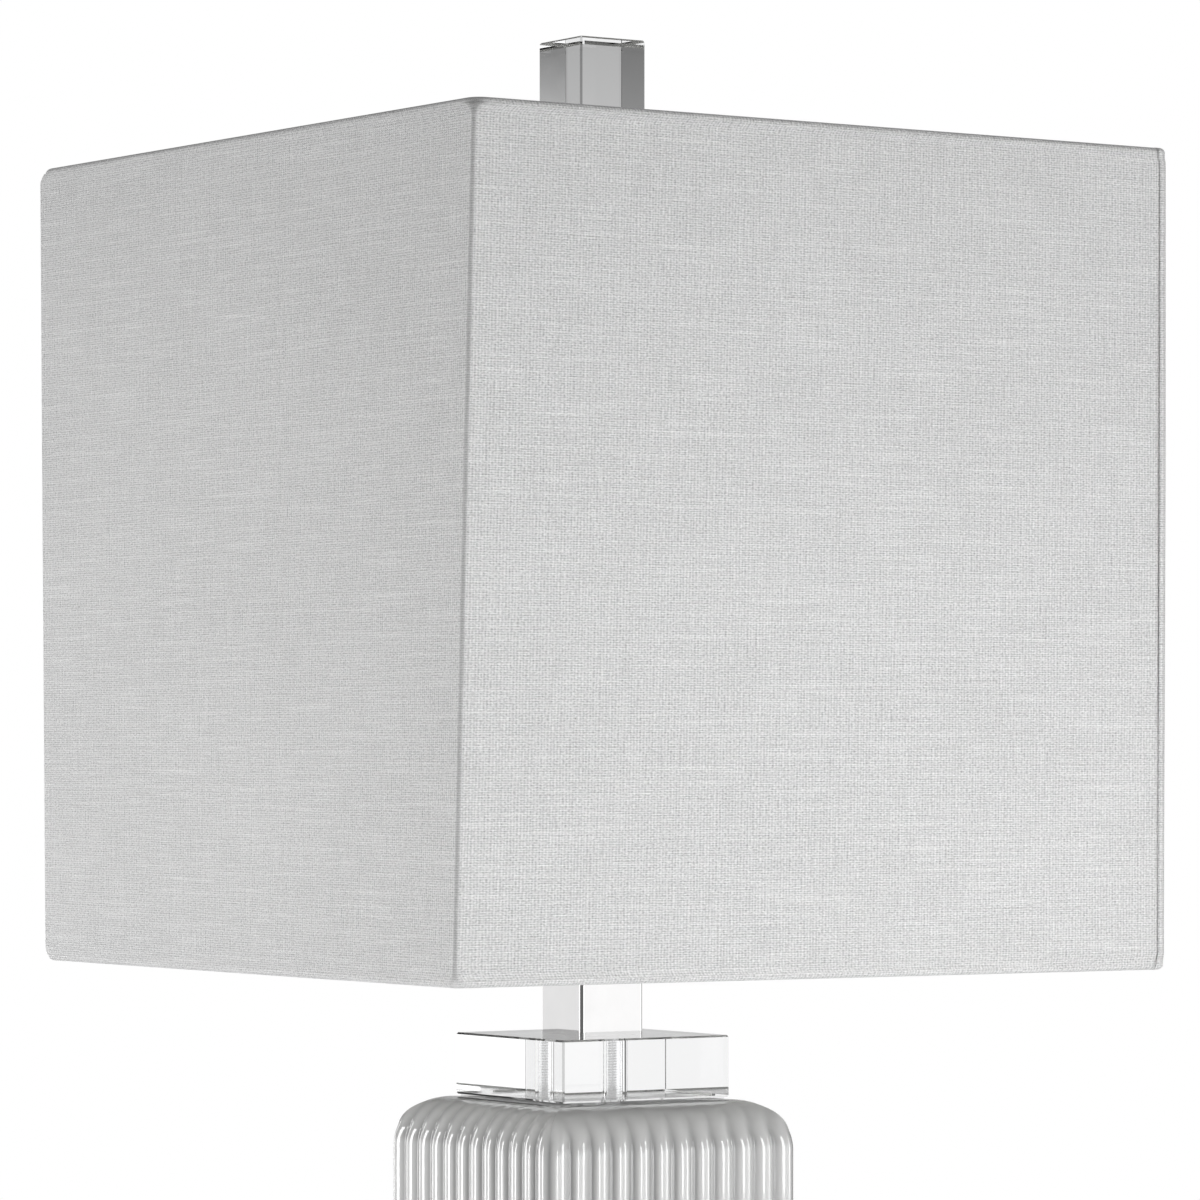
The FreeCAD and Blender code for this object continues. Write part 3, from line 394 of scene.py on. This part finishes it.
# %% Linen
WARP = 1.18 * MM
WEFT = 0.82 * MM
SWAY = 5.0
EVEN_TONE = 0.96
SLUB_FROM = 0.52
HUSK_FROM = 0.845
LINEN_GREYS = [(0.0, (0.40, 0.40, 0.402)), (0.5, (0.735, 0.735, 0.735)), (1.0, (0.99, 0.99, 0.988))]


def thread_wave(tree, coordinate, spacing, shift):
    """A sine across the threads, from -1 to 1, with its phase shifted by a noise."""
    phase = reckon(tree, "MULTIPLY_ADD", coordinate, 2 * math.pi / spacing, reckon(tree, "MULTIPLY", shift, SWAY))
    return reckon(tree, "SINE", phase)


def make_white_linen():
    finish, tree, shader = new_finish("white_linen", 0.88)
    cloth = tree.nodes.new("ShaderNodeSeparateXYZ")
    tree.links.new(place(tree, (1, 1, 1), True), cloth.inputs["Vector"])
    upright = thread_wave(tree, cloth.outputs["X"], WARP, noise(tree, place(tree, (350, 40, 1), True), 2.0))
    level = thread_wave(tree, cloth.outputs["Y"], WEFT, noise(tree, place(tree, (40, 450, 1), True), 2.0))
    plain = noise(tree, place(tree, (160, 160, 1), True), 2.0)
    upright_tone = reckon(tree, "MULTIPLY", upright, between(tree, plain, 0.03, 0.20))
    level_tone = reckon(tree, "MULTIPLY", level, between(tree, plain, 0.26, 0.06))
    warp = noise(tree, place(tree, (1 / WARP, 60, 1), True), 2.0, 0.6)
    weft = noise(tree, place(tree, (60, 1 / WEFT, 1), True), 2.0, 0.6)
    grain = noise(tree, place(tree, (950, 1800, 1), True), 1.0)
    slub = noise(tree, place(tree, (24, 620, 1), True), 3.0, 0.55)
    drift = noise(tree, place(tree, (9, 14, 1), True), 3.0)
    pale = reckon(tree, "MAXIMUM", reckon(tree, "SUBTRACT", slub, SLUB_FROM), 0.0)

    tone = reckon(tree, "ADD", upright_tone, level_tone)
    for part, share in ((warp, 0.30), (weft, 0.30), (grain, 1.20), (drift, 0.10)):
        tone = reckon(tree, "MULTIPLY_ADD", part, share, tone)
    tone = reckon(tree, "MULTIPLY_ADD", pale, 0.75, tone)
    # painted shade: along the sharp creases the tone is darkened by an uneven amount, for the shadow in the fold
    crease = tree.nodes.new("ShaderNodeAttribute")
    crease.attribute_name = "crease"
    crease_shade = between(tree, noise(tree, place(tree, (90, 140, 1), True), 2.0), -0.42, -0.02)
    tone = reckon(tree, "MULTIPLY_ADD", crease.outputs["Fac"], crease_shade, tone)
    tone = reckon(tree, "SUBTRACT", tone, EVEN_TONE - 0.5)
    thread = ramp(tree, tone, LINEN_GREYS)

    husk = noise(tree, place(tree, (420, 300, 1), True), 1.0)
    fleck = reckon(tree, "GREATER_THAN", husk, HUSK_FROM)
    mix = tree.nodes.new("ShaderNodeMix")
    mix.data_type = "RGBA"
    tree.links.new(fleck, mix.inputs["Factor"])
    tree.links.new(thread, mix.inputs[6])
    mix.inputs[7].default_value = (0.22, 0.21, 0.20, 1)
    tree.links.new(mix.outputs[2], shader.inputs["Base Color"])

    weave = reckon(tree, "MULTIPLY_ADD", reckon(tree, "MULTIPLY", upright, level), 0.5, tone)
    relief(tree, shader, weave, 0.00016, 0.6)
    shader.inputs["Sheen Weight"].default_value = 0.2
    shader.inputs["Sheen Roughness"].default_value = 0.5
    return finish


white_linen = make_white_linen()
print("finish", white_linen.name, "with threads every", WARP / MM, "by", WEFT / MM, "mm")

# %% [markdown]
# ## Helpers for surfaces
#
# Every new surface here is a grid: rows and columns of points worked out as whole arrays, with a face
# between each four neighbours. Where a row or column closes on itself, its last faces join back to the
# first. A map, if there is one, is given for every corner of the grid in metres.

# %% Grid surfaces
def grid_faces(rows, columns, ring_rows=False, ring_columns=False):
    """Corner numbers of every face of a grid, wrapped round where it closes."""
    row = np.arange(rows if ring_rows else rows - 1)
    column = np.arange(columns if ring_columns else columns - 1)
    down, across = np.meshgrid(row, column, indexing="ij")
    after_down = (down + 1) % rows
    after_across = (across + 1) % columns
    corners = [down * columns + across, down * columns + after_across,
               after_down * columns + after_across, after_down * columns + across]
    return np.stack(corners, axis=-1).reshape(-1, 4)


def grid_piece(name, points, faces, finish, body, stands_for, cloth_map=None):
    """A smooth mesh from points and faces, with its finish, its body and the CAD pieces it stands for."""
    mesh = bpy.data.meshes.new(name)
    mesh.from_pydata(points.reshape(-1, 3).tolist(), [], faces.tolist())
    mesh.polygons.foreach_set("use_smooth", np.ones(len(mesh.polygons), bool))
    if cloth_map is not None:
        layer = mesh.uv_layers.new(name="cloth")
        layer.data.foreach_set("uv", cloth_map.reshape(-1, 2)[faces.ravel()].ravel())
    mesh.materials.append(finish)
    mesh.update()
    piece = bpy.data.objects.new(name, mesh)
    bpy.context.scene.collection.objects.link(piece)
    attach(piece, body)
    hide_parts(*stands_for)
    print(name, len(mesh.vertices), "points", len(mesh.polygons), "faces")
    return piece


def smooth_step(t):
    """Rises from 0 to 1 with level ends: 3t^2 - 2t^3."""
    t = np.clip(t, 0.0, 1.0)
    return t * t * (3 - 2 * t)


print("surface helpers ready")

# %% [markdown]
# ## The ribbed column
#
# The real column is cast in a mould: twelve round ribs on each face run straight up, over the soft shoulder
# and fade out where the top goes flat, and the faces meet in a mitre. One face is a grid of across by along.
# Along it, a profile starts at the rod hole, crosses the flat top, rounds the shoulder, runs down the wall
# and mirrors itself at the bottom. Across it, each row is as wide as it stands far from the axis, so that the
# four faces close at the mitre by themselves. The ribs push each point out along the profile's normal.

# %% Ribbed column
RIBS = 12
RIB_DEPTH = 1.4 * MM
GLAZE_FILL = 0.035
STEPS_PER_RIB = 14
ROD_HOLE = 5.45 * MM
INLET_RADIUS = 5.4 * MM
NEAR_INLET = 12 * MM
half_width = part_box("ceramic_column")[1].x
shoulder = half_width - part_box("crystal_collar")[1].x
column_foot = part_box("foot_seal")[1].z
column_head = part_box("collar_seal")[0].z
inlet = 0.5 * (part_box("cord_bushing")[0].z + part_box("cord_bushing")[1].z)


def column_profile():
    """Distance from the axis, height, slope and rib strength along one face, from top to bottom.

    The flat top is a straight run, the shoulder a quarter circle about (half width - shoulder), the wall
    a straight run with more rows by the cord hole.  The lower half is the upper one turned over.
    """
    flat = np.linspace(ROD_HOLE, half_width - shoulder, 8, endpoint=False)
    turn = np.linspace(0.0, math.pi / 2, 22)
    wall = np.concatenate([
        np.linspace(column_head - shoulder, inlet + NEAR_INLET, 16, endpoint=False)[1:],
        np.linspace(inlet + NEAR_INLET, column_foot + shoulder, 34, endpoint=False),
    ])
    out = [flat, half_width - shoulder * (1 - np.sin(turn)), np.full(len(wall), half_width)]
    up = [np.full(len(flat), column_head), column_head - shoulder * (1 - np.cos(turn)), wall]
    tilt = [np.zeros(len(flat)), turn, np.full(len(wall), math.pi / 2)]
    lower_up = [column_foot + shoulder * (1 - np.cos(turn[::-1])), np.full(len(flat), column_foot)]
    out += [out[1][::-1], flat[::-1]]
    up += lower_up
    tilt += [math.pi - turn[::-1], np.full(len(flat), math.pi)]
    tilt = np.concatenate(tilt)
    strength = smooth_step(1 - np.abs(1 - tilt / (math.pi / 2))) ** 1.5
    return np.concatenate(out), np.concatenate(up), tilt, strength


def rib_height(across):
    """0 in the groove and 1 on the crest: a parabola between grooves, with a soft fillet in the groove."""
    pitch = 2 * (half_width - RIB_DEPTH) / RIBS
    place_in_rib = np.mod(across / pitch + 0.5 * RIBS, 1.0)
    to_groove = np.minimum(place_in_rib, 1 - place_in_rib)
    softened = np.sqrt(to_groove ** 2 + GLAZE_FILL ** 2) - GLAZE_FILL
    return 1 - (1 - 2 * softened) ** 2


def column_face():
    """One face, seen from the front: points, and how deep in a groove each of them lies."""
    out, up, tilt, strength = (values[:, None] for values in column_profile())
    across = np.linspace(-1.0, 1.0, RIBS * STEPS_PER_RIB + 1)[None, :]
    x = across * np.minimum(out, half_width - RIB_DEPTH)
    sink = RIB_DEPTH * (1 - rib_height(x)) * strength
    reach = out - sink * np.sin(tilt)
    points = np.stack([across * reach, -reach, up - sink * np.cos(tilt) + 0 * across], axis=-1)
    return points, (1 - rib_height(x)) * strength


def make_glazed_column():
    face_points, face_groove = column_face()
    faces = grid_faces(*face_points.shape[:2])
    points, grooves, corners = [], [], []
    for quarter in range(4):
        angle = quarter * math.pi / 2
        spin = np.array([[math.cos(angle), -math.sin(angle), 0], [math.sin(angle), math.cos(angle), 0], [0, 0, 1]])
        turned = face_points @ spin.T
        keep = np.ones(len(faces), bool)
        if quarter == 2:
            middle = turned.reshape(-1, 3)[faces].mean(axis=1)
            keep = np.hypot(middle[:, 0], middle[:, 2] - inlet) > INLET_RADIUS
        points.append(turned.reshape(-1, 3))
        grooves.append(face_groove.ravel())
        corners.append(faces[keep] + quarter * len(points[0]))
    piece = grid_piece("glazed_column", np.concatenate(points), np.concatenate(corners), white_glaze,
                       "base", ["ceramic_column"])
    attribute = piece.data.attributes.new("groove", "FLOAT", "POINT")
    attribute.data.foreach_set("value", np.concatenate(grooves).astype(np.float32))
    return piece


glazed_column = make_glazed_column()
print("column", round(column_foot, 4), "to", round(column_head, 4), "shoulder", round(shoulder / MM, 2), "mm")

# %% [markdown]
# ## The shade's square walk
#
# Linen, liner and both wires run round the same rounded square, so they share one function. It walks clockwise
# from the right-hand end of the front face, and counts in quarters: nine tenths of a quarter is the
# straight side and the last tenth is the corner. Counting in quarters, and not in millimetres, lets the corner
# differ from row to row: at the wires it is round, and between them the stiff sheet is creased almost
# sharp. Only the corner where the cloth ends is sharp all the way, because two layers are pressed flat there.
# The shade in the photo is also wrung a little: its top is turned about two degrees against its bottom,
# which leans its near edge. One wring serves all four pieces, so they stay together.

# %% Square walk and wring
WRING = math.radians(1.84)
SIDE_SHARE = 0.9
CREASE = 1.0 * MM
TOP_CORNER = 6.5 * MM
BOTTOM_CORNER = 4 * MM
SEAM_CORNER = 1.8 * MM
CORNER_FADE = 6 * MM
LINEN = 0.5 * MM
WIRE = 1.5 * MM
linen_low, linen_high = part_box("linen_cover")
shade_reach = linen_high.x


def square_walk(quarters, reach, corner):
    """Points and outward directions at a count of quarters along a rounded square.

    In the first quarter x runs from +last to -flat at y = -reach, and then swings a quarter circle about
    (-flat, -flat); each later quarter is the first one turned by a right angle.  The fourth corner, where the
    cloth ends, has its own radius, so last differs from flat in the two quarters that meet there.
    """
    number = np.floor(quarters)
    share = quarters - number
    sharp = np.minimum(corner, SEAM_CORNER)
    before = np.where(number % 4 == 0, sharp, corner)
    corner = np.where(number % 4 == 3, sharp, corner)
    flat = reach - corner
    last = reach - before
    run = (last + flat) * np.minimum(share / SIDE_SHARE, 1.0)
    swing = math.pi / 2 * np.clip((share - SIDE_SHARE) / (1 - SIDE_SHARE), 0, 1)
    x = last - run - corner * np.sin(swing)
    y = -flat - corner * np.cos(swing)
    cosine, sine = np.cos(number * math.pi / 2), -np.sin(number * math.pi / 2)
    out_x, out_y = -np.sin(swing), -np.cos(swing)
    point = np.stack([x * cosine - y * sine, x * sine + y * cosine], axis=-1)
    outward = np.stack([out_x * cosine - out_y * sine, out_x * sine + out_y * cosine], axis=-1)
    return point, np.broadcast_to(outward, point.shape)


def one_round(per_side=44, per_corner=12):
    """Counts of quarters once round, close together at the corners, without the closing point."""
    quarter = np.concatenate([np.linspace(0, SIDE_SHARE, per_side, endpoint=False),
                              np.linspace(SIDE_SHARE, 1, per_corner, endpoint=False)])
    return np.concatenate([quarter + number for number in range(4)])


def wall_corner(height):
    """Corner radius of the wall at a height: round at the wires, creased between them."""
    from_top = 1 - smooth_step((linen_high.z - height) / CORNER_FADE)
    from_low = 1 - smooth_step((height - linen_low.z) / CORNER_FADE)
    return CREASE + (TOP_CORNER - CREASE) * from_top + (BOTTOM_CORNER - CREASE) * from_low


def wrung(points):
    """Turn each point about the axis by its share of the wring: nothing at mid height."""
    share = (points[..., 2] - 0.5 * (linen_low.z + linen_high.z)) / (linen_high.z - linen_low.z)
    cosine, sine = np.cos(share * WRING), np.sin(share * WRING)
    return np.stack([points[..., 0] * cosine - points[..., 1] * sine,
                     points[..., 0] * sine + points[..., 1] * cosine, points[..., 2]], axis=-1)


def walked_points(quarters, reach, corner, push, height):
    """Points of a wall: the square walk at each height, pushed outwards, and wrung."""
    point, outward = square_walk(quarters[None, :], reach, corner[:, None])
    flat = point + push[..., None] * outward
    rise = np.broadcast_to(height[:, None, None], flat.shape[:2] + (1,))
    return wrung(np.concatenate([flat, rise], axis=-1))


print("shade reaches", round(shade_reach, 4), "corner", TOP_CORNER / MM, "to", CREASE / MM, "mm")

# %% [markdown]
# ## The linen cover
#
# A hardback shade is a strip of linen glued to a stiff sheet. At top and bottom the linen goes over the wire
# and is glued down inside, and its end goes once round the right-hand corner and laps a few millimetres over
# the front face, where its cut edge shows. So the piece is one open sheet: its section is a path, from the
# upper hem inside, over the wire, down the wall, round the lower wire and up the lower hem, and its walk is a
# little longer than the square, with the last stretch lifted by the cloth's thickness. Solidify gives it its
# cloth. An attribute, crease, marks the folded corners for the finish, which paints shade along them: an
# uneven darker line for the shadow in the sharp fold.

# %% Linen cover
OVERLAP = 12 * MM
PEEK = 1.7 * MM
HEM = 11 * MM
FOLD_RISE = 2.0 * MM
HEM_IN = 1.5 * MM
GLUE = 0.1 * MM
BULGE = 0.10 * MM
CREASE_FADE = 3 * MM
wall_reach = shade_reach - LINEN / 2 - 0.2 * MM


def linen_section():
    """Offset from the wall, height and corner radius along the cloth, from upper to lower hem.

    Each fold is half an ellipse about the wire's centre; the hems lie on the liner's inner face.
    """
    top = linen_high.z - LINEN / 2
    low = linen_low.z + LINEN / 2
    wire_in = wall_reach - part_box("top_frame")[1].x + WIRE
    swing = np.linspace(math.pi, 0.0, 13)
    fold_out = wire_in * (np.cos(swing) - 1)
    fold_up = top - FOLD_RISE * (1 - np.sin(swing))
    hem_share = np.linspace(0, 1, 6)[:-1]
    hem_out = -HEM_IN - (2 * wire_in - HEM_IN) * smooth_step(1.25 * hem_share - 0.35)
    hem_up = top - FOLD_RISE - HEM * (1 - hem_share)
    ends = CORNER_FADE * smooth_step(np.linspace(0, 1, 11))[1:]
    wall_up = np.concatenate([top - FOLD_RISE - ends, np.linspace(top - 2 * CORNER_FADE, low + 2 * CORNER_FADE, 26),
                              low + FOLD_RISE + ends[::-1]])
    offset = np.concatenate([hem_out, fold_out, np.zeros(len(wall_up)), fold_out[::-1], hem_out[::-1]])
    height = np.concatenate([hem_up, fold_up, wall_up, low + top - fold_up[::-1], low + top - hem_up[::-1]])
    corner = wall_corner(height)
    turned_in = len(hem_out) + len(fold_out)
    corner[:turned_in] = TOP_CORNER
    corner[-turned_in:] = BOTTOM_CORNER
    return offset, height, corner


def make_linen_wall():
    """The section carried once round and on over the lap, with its end lifted by one thickness.

    A product of two slow sines bulges the wall by a tenth of a millimetre, and the attribute crease is a
    squared half sine across each corner, where that corner is sharp.
    """
    offset, height, corner = linen_section()
    quarter_length = 2 * (wall_reach - CREASE) + CREASE * math.pi / 2
    peek, lap = SIDE_SHARE * PEEK / quarter_length, SIDE_SHARE * OVERLAP / quarter_length
    steps = one_round()
    quarters = np.concatenate([np.linspace(peek, peek + lap, 5), steps[steps > peek + lap],
                               4 + np.linspace(0, peek, 4)])
    end_lift = (LINEN + GLUE) * smooth_step((quarters - 4 + 0.10) / 0.05)
    sway = BULGE * np.sin(13 * quarters)[None, :] * np.sin(23 * height + 1.0)[:, None]
    on_wall = (offset == 0)[:, None]
    push = offset[:, None] + end_lift[None, :] + on_wall * sway
    points = walked_points(quarters, wall_reach, corner, push, height)
    down = np.concatenate([[0], np.cumsum(np.hypot(np.diff(offset), np.diff(height)))])
    cloth_map = np.stack(np.broadcast_arrays(quarters[None, :] * quarter_length, -down[:, None]), axis=-1)
    faces = grid_faces(*points.shape[:2])[:, ::-1]
    piece = grid_piece("linen_wall", points, faces, white_linen, "shade",
                       ["linen_cover"], cloth_map)
    share = (quarters - np.floor(quarters) - SIDE_SHARE) / (1 - SIDE_SHARE)
    fold = np.where(share > 0, np.sin(math.pi * np.clip(share, 0, 1)) ** 2, 0.0)
    sharp = np.clip(1 - (corner - CREASE) / CREASE_FADE, 0, 1)
    crease = piece.data.attributes.new("crease", "FLOAT", "POINT")
    crease.data.foreach_set("value", (sharp[:, None] * fold[None, :]).ravel().astype(np.float32))
    thick = piece.modifiers.new("thickness", "SOLIDIFY")
    thick.thickness = LINEN
    thick.offset = 0
    return piece, 4 * quarter_length + OVERLAP, down[-1]


linen_wall, cut_length, cut_height = make_linen_wall()
print("linen is cut", round(cut_length, 3), "by", round(cut_height, 3), "m")

# %% [markdown]
# ## Liner and wires
#
# Behind the linen is a translucent white styrene sheet, and a painted wire at each end keeps it square. The
# sheet is the same walk a little further in; a wire is a small circle carried round it. All are wrung with the
# linen, and take their corners from it.

# %% Liner and wires
def make_liner_sheet():
    low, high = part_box("shade_liner")
    inset = LINEN + 0.3 * MM
    height = np.linspace(low.z, high.z, 40)
    corner = np.maximum(wall_corner(height) - inset, 0.5 * MM)
    quarters = one_round()
    push = np.zeros((len(height), len(quarters)))
    points = walked_points(quarters, wall_reach - inset, corner, push, height)
    faces = grid_faces(*points.shape[:2], ring_columns=True)
    piece = grid_piece("liner_sheet", points, faces, white_styrene, "shade", ["shade_liner"])
    thick = piece.modifiers.new("thickness", "SOLIDIFY")
    thick.thickness = 0.4 * MM
    thick.offset = 0
    return piece


def make_wire_ring(name, node, corner):
    """A circle of the wire's radius carried round the rounded square at the wire's own level."""
    low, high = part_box(node)
    reach = high.x - WIRE
    corner = corner - (wall_reach - reach)
    turn = np.linspace(0, 2 * math.pi, 14, endpoint=False)
    quarters = one_round(per_side=24)
    push = np.broadcast_to(WIRE * np.cos(turn)[:, None], (len(turn), len(quarters)))
    height = 0.5 * (low.z + high.z) + WIRE * np.sin(turn)
    points = walked_points(quarters, reach, np.full(len(turn), corner), push, height)
    faces = grid_faces(*points.shape[:2], ring_rows=True, ring_columns=True)[:, ::-1]
    return grid_piece(name, points, faces, white_wire, "shade", [node])


liner_sheet = make_liner_sheet()
top_wire = make_wire_ring("top_wire", "top_frame", TOP_CORNER)
bottom_wire = make_wire_ring("bottom_wire", "bottom_frame", BOTTOM_CORNER)

# %% [markdown]
# ## Soft feet
#
# The four pads under the foot are stuck-on domes of clear rubber. A dome is a profile turned about its own
# upright axis, and the four of them are one mesh, because they are one CAD piece.

# %% Soft feet
PAD_RADIUS = 8 * MM


def make_soft_feet():
    """Four domes: from its pole a quarter circle runs to the rim, then straight up to the crystal."""
    low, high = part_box("foot_pads")
    radius = PAD_RADIUS
    height = high.z - low.z
    swing = np.linspace(0, math.pi / 2, 7)
    round_off = 0.8 * height
    out = np.concatenate([[0.0], (radius - round_off) + round_off * np.sin(swing), [radius, 0.0]])
    up = np.concatenate([[0.0], round_off * (1 - np.cos(swing)), [height, height]])
    turn = np.linspace(0, 2 * math.pi, 32, endpoint=False)
    pad = np.stack([out[:, None] * np.cos(turn), out[:, None] * np.sin(turn), up[:, None] + 0 * turn], axis=-1)
    faces = grid_faces(len(out), len(turn), ring_columns=True)
    centre = high.x - radius
    spots = [(x, y) for x in (-centre, centre) for y in (-centre, centre)]
    points = np.concatenate([pad.reshape(-1, 3) + (x, y, low.z) for x, y in spots])
    corners = np.concatenate([faces + number * pad.shape[0] * pad.shape[1] for number in range(4)])
    return grid_piece("soft_feet", points, corners[:, ::-1], clear_rubber, "base", ["foot_pads"])


soft_feet = make_soft_feet()

# %% [markdown]
# ## Floor
#
# The lamp stands on a pale floor. Its paint takes the lamps' light and the shadow, and three quarters of what
# the camera sees of it is an even, nearly white glow, so that it stays pale without more light on the lamp.

# %% Floor
FLOOR_RADIUS = 3.2
GLOW = 0.93
GLOW_SHARE = 0.75


def make_floor():
    """A disc: three rings of points at the radii 0, 0.6 and 3.2 m."""
    finish, tree, shader = new_finish("floor_paint", 0.7)
    cloud = noise(tree, place(tree, (3, 3, 3)), 3.0)
    tree.links.new(ramp(tree, cloud, [(0.3, 0.84), (0.7, 0.87)]), shader.inputs["Base Color"])
    glow = tree.nodes.new("ShaderNodeEmission")
    glow.inputs["Color"].default_value = (GLOW, GLOW, GLOW, 1)
    mix = tree.nodes.new("ShaderNodeMixShader")
    path = tree.nodes.new("ShaderNodeLightPath")
    seen = reckon(tree, "MULTIPLY", path.outputs["Is Camera Ray"], GLOW_SHARE)
    tree.links.new(reckon(tree, "MAXIMUM", bent_ray(tree), seen), mix.inputs[0])
    tree.links.new(shader.outputs["BSDF"], mix.inputs[1])
    tree.links.new(glow.outputs["Emission"], mix.inputs[2])
    tree.links.new(mix.outputs["Shader"], tree.nodes["Material Output"].inputs["Surface"])
    turn = np.linspace(0, 2 * math.pi, 96, endpoint=False)
    radius = np.array([0.0, 0.6, FLOOR_RADIUS])
    points = np.stack([radius[:, None] * np.cos(turn), radius[:, None] * np.sin(turn),
                       np.zeros((3, len(turn)))], axis=-1)
    mesh = bpy.data.meshes.new("floor")
    mesh.from_pydata(points.reshape(-1, 3).tolist(), [], grid_faces(3, len(turn), ring_columns=True).tolist())
    mesh.materials.append(finish)
    floor = bpy.data.objects.new("floor", mesh)
    bpy.context.scene.collection.objects.link(floor)
    return floor


floor = make_floor()
print("floor laid")

# %% [markdown]
# ## Surroundings
#
# What glass and metal show is mostly their surroundings, and in the photo these are plain: white below the
# horizon, light grey straight behind the lamp, and darker to the sides and above, which is why the sides of
# the finial look dark. Low on the left and far right the room is dim, which draws the dark edge of the neck
# and the flanks of the ribs, and front right it is brightest, which fills the ribs. The world gives just that
# to mirrored and bent rays, a soft grey light to everything matt, and pure white to the camera.
#
# A patch of the room is a direction with two cosines: of the angle from it at which the patch begins, and of
# the angle at which it is full. The horizon is a ramp of the height, where 0.5 is level, and on the right it
# fades in a narrower band.

# %% Surroundings
SIDES = 0.17
BACKDROP = 0.47
BELOW = 0.95
BRIGHT_FLOOR = 1.2
DIM_FLOOR = 0.16
SOFT_LIGHT = 0.25
BEHIND = (tuple(ahead), 0.80, 0.90)
BRIGHT_SIDE = ((0.551, -0.834, 0.0), 0.90, 0.955)
DIM_SIDE = ((-0.834, -0.552, 0.0), 0.60, 0.70)
DIM_GAP = ((0.999, 0.035, 0.0), 0.92, 0.96)
RIGHT_SIDE = ((0.834, -0.551, 0.0), 0.60, 0.80)
HORIZON = [(0.498, 1.0), (0.562, 0.0)]
RIGHT_HORIZON = [(0.538, 1.0), (0.562, 0.0)]


def make_world():
    world = bpy.data.worlds.new("studio")
    bpy.context.scene.world = world
    world.use_nodes = True
    tree = world.node_tree
    heading = tree.nodes.new("ShaderNodeTexCoord").outputs["Generated"]
    split = tree.nodes.new("ShaderNodeSeparateXYZ")
    tree.links.new(heading, split.inputs["Vector"])

    def towards(direction, edge, full):
        """0 away from a direction and 1 near it; edge and full are the cosines where that begins and ends."""
        dot = tree.nodes.new("ShaderNodeVectorMath")
        dot.operation = "DOT_PRODUCT"
        tree.links.new(heading, dot.inputs[0])
        dot.inputs[1].default_value = direction
        return ramp(tree, dot.outputs["Value"], [(edge, 0.0), (full, 1.0)])

    def mixed(factor, first, second):
        node = tree.nodes.new("ShaderNodeMix")
        node.data_type = "RGBA"
        tree.links.new(factor, node.inputs["Factor"])
        for socket, term in ((node.inputs[6], first), (node.inputs[7], second)):
            if isinstance(term, float):
                socket.default_value = (term, term, term, 1)
            else:
                tree.links.new(term, socket)
        return node.outputs[2]

    above = mixed(towards(*BEHIND), SIDES, BACKDROP)
    ground = mixed(towards(*BRIGHT_SIDE), BELOW, BRIGHT_FLOOR)
    ground = mixed(towards(*DIM_SIDE), ground, DIM_FLOOR)
    ground = mixed(towards(*DIM_GAP), ground, DIM_FLOOR)
    height = reckon(tree, "MULTIPLY_ADD", split.outputs["Z"], 0.5, 0.5)
    fade = mixed(towards(*RIGHT_SIDE), ramp(tree, height, HORIZON), ramp(tree, height, RIGHT_HORIZON))
    seen = mixed(fade, above, ground)
    path = tree.nodes.new("ShaderNodeLightPath")
    colour = mixed(path.outputs["Is Camera Ray"], mixed(bent_ray(tree), SOFT_LIGHT, seen), 1.0)
    tree.links.new(colour, tree.nodes["Background"].inputs["Color"])


make_world()
print("surroundings ready")

# %% [markdown]
# ## Lights
#
# Four tall, narrow soft lights stand round the lamp, and each rib of the glaze mirrors them as fine bright
# lines. A flat face would mirror one heading; a rib spreads that by up to 39 degrees each way. Two strips stand
# 20 degrees either side of the right face's heading, and two beside the left face's, so every rib shows a
# bright line left and right of its crest. The others only fill, and no mirror shows them: a wide one in
# front makes the right face the lighter one, another lifts the back, and two low ones brighten the foot of
# the shade, as the pale table does in the photo. Their beams are narrow, so that they spare the floor.

# %% Lights
def soft_light(name, heading, distance, level, size, strength, target=None, mirrored=True, spread=180):
    """An area light aimed at the lamp's axis, with its own brightness (strength) and its heading as x and y."""
    data = bpy.data.lights.new(name, "AREA")
    data.shape = "RECTANGLE"
    data.size, data.size_y = size
    data.energy = strength * math.pi * size[0] * size[1]
    data.spread = math.radians(spread)
    light = bpy.data.objects.new(name, data)
    x, y = np.array(heading) / np.hypot(*heading) * distance
    light.location = (x, y, level)
    aim = Vector((-x, -y, (level if target is None else target) - level))
    light.rotation_euler = aim.to_track_quat("-Z", "Y").to_euler()
    light.visible_camera = False
    light.visible_transmission = False
    light.visible_glossy = mirrored
    bpy.context.scene.collection.objects.link(light)


soft_light("key", (0.233, -0.972), 2.2, 0.60, (0.3, 0.9), 3.5)
soft_light("right_side", (0.804, -0.595), 2.0, 0.60, (0.24, 0.9), 3.1)
soft_light("left_side", (-0.809, 0.588), 2.0, 0.60, (0.36, 0.9), 3.9)
soft_light("far_side", (-0.233, 0.972), 2.0, 0.60, (0.2, 0.9), 2.6)
soft_light("front_fill", (0.45, -0.9), 2.6, 0.8, (1.6, 1.2), 0.94, mirrored=False)
soft_light("back_fill", (0.5, 0.87), 2.6, 0.8, (1.6, 1.2), 0.8, mirrored=False)
soft_light("low_front", (0.1, -1.0), 0.95, 0.06, (0.8, 0.3), 3.15, target=0.55, mirrored=False, spread=100)
soft_light("low_left", (-1.0, 0.1), 0.95, 0.06, (0.8, 0.3), 2.95, target=0.55, mirrored=False, spread=100)
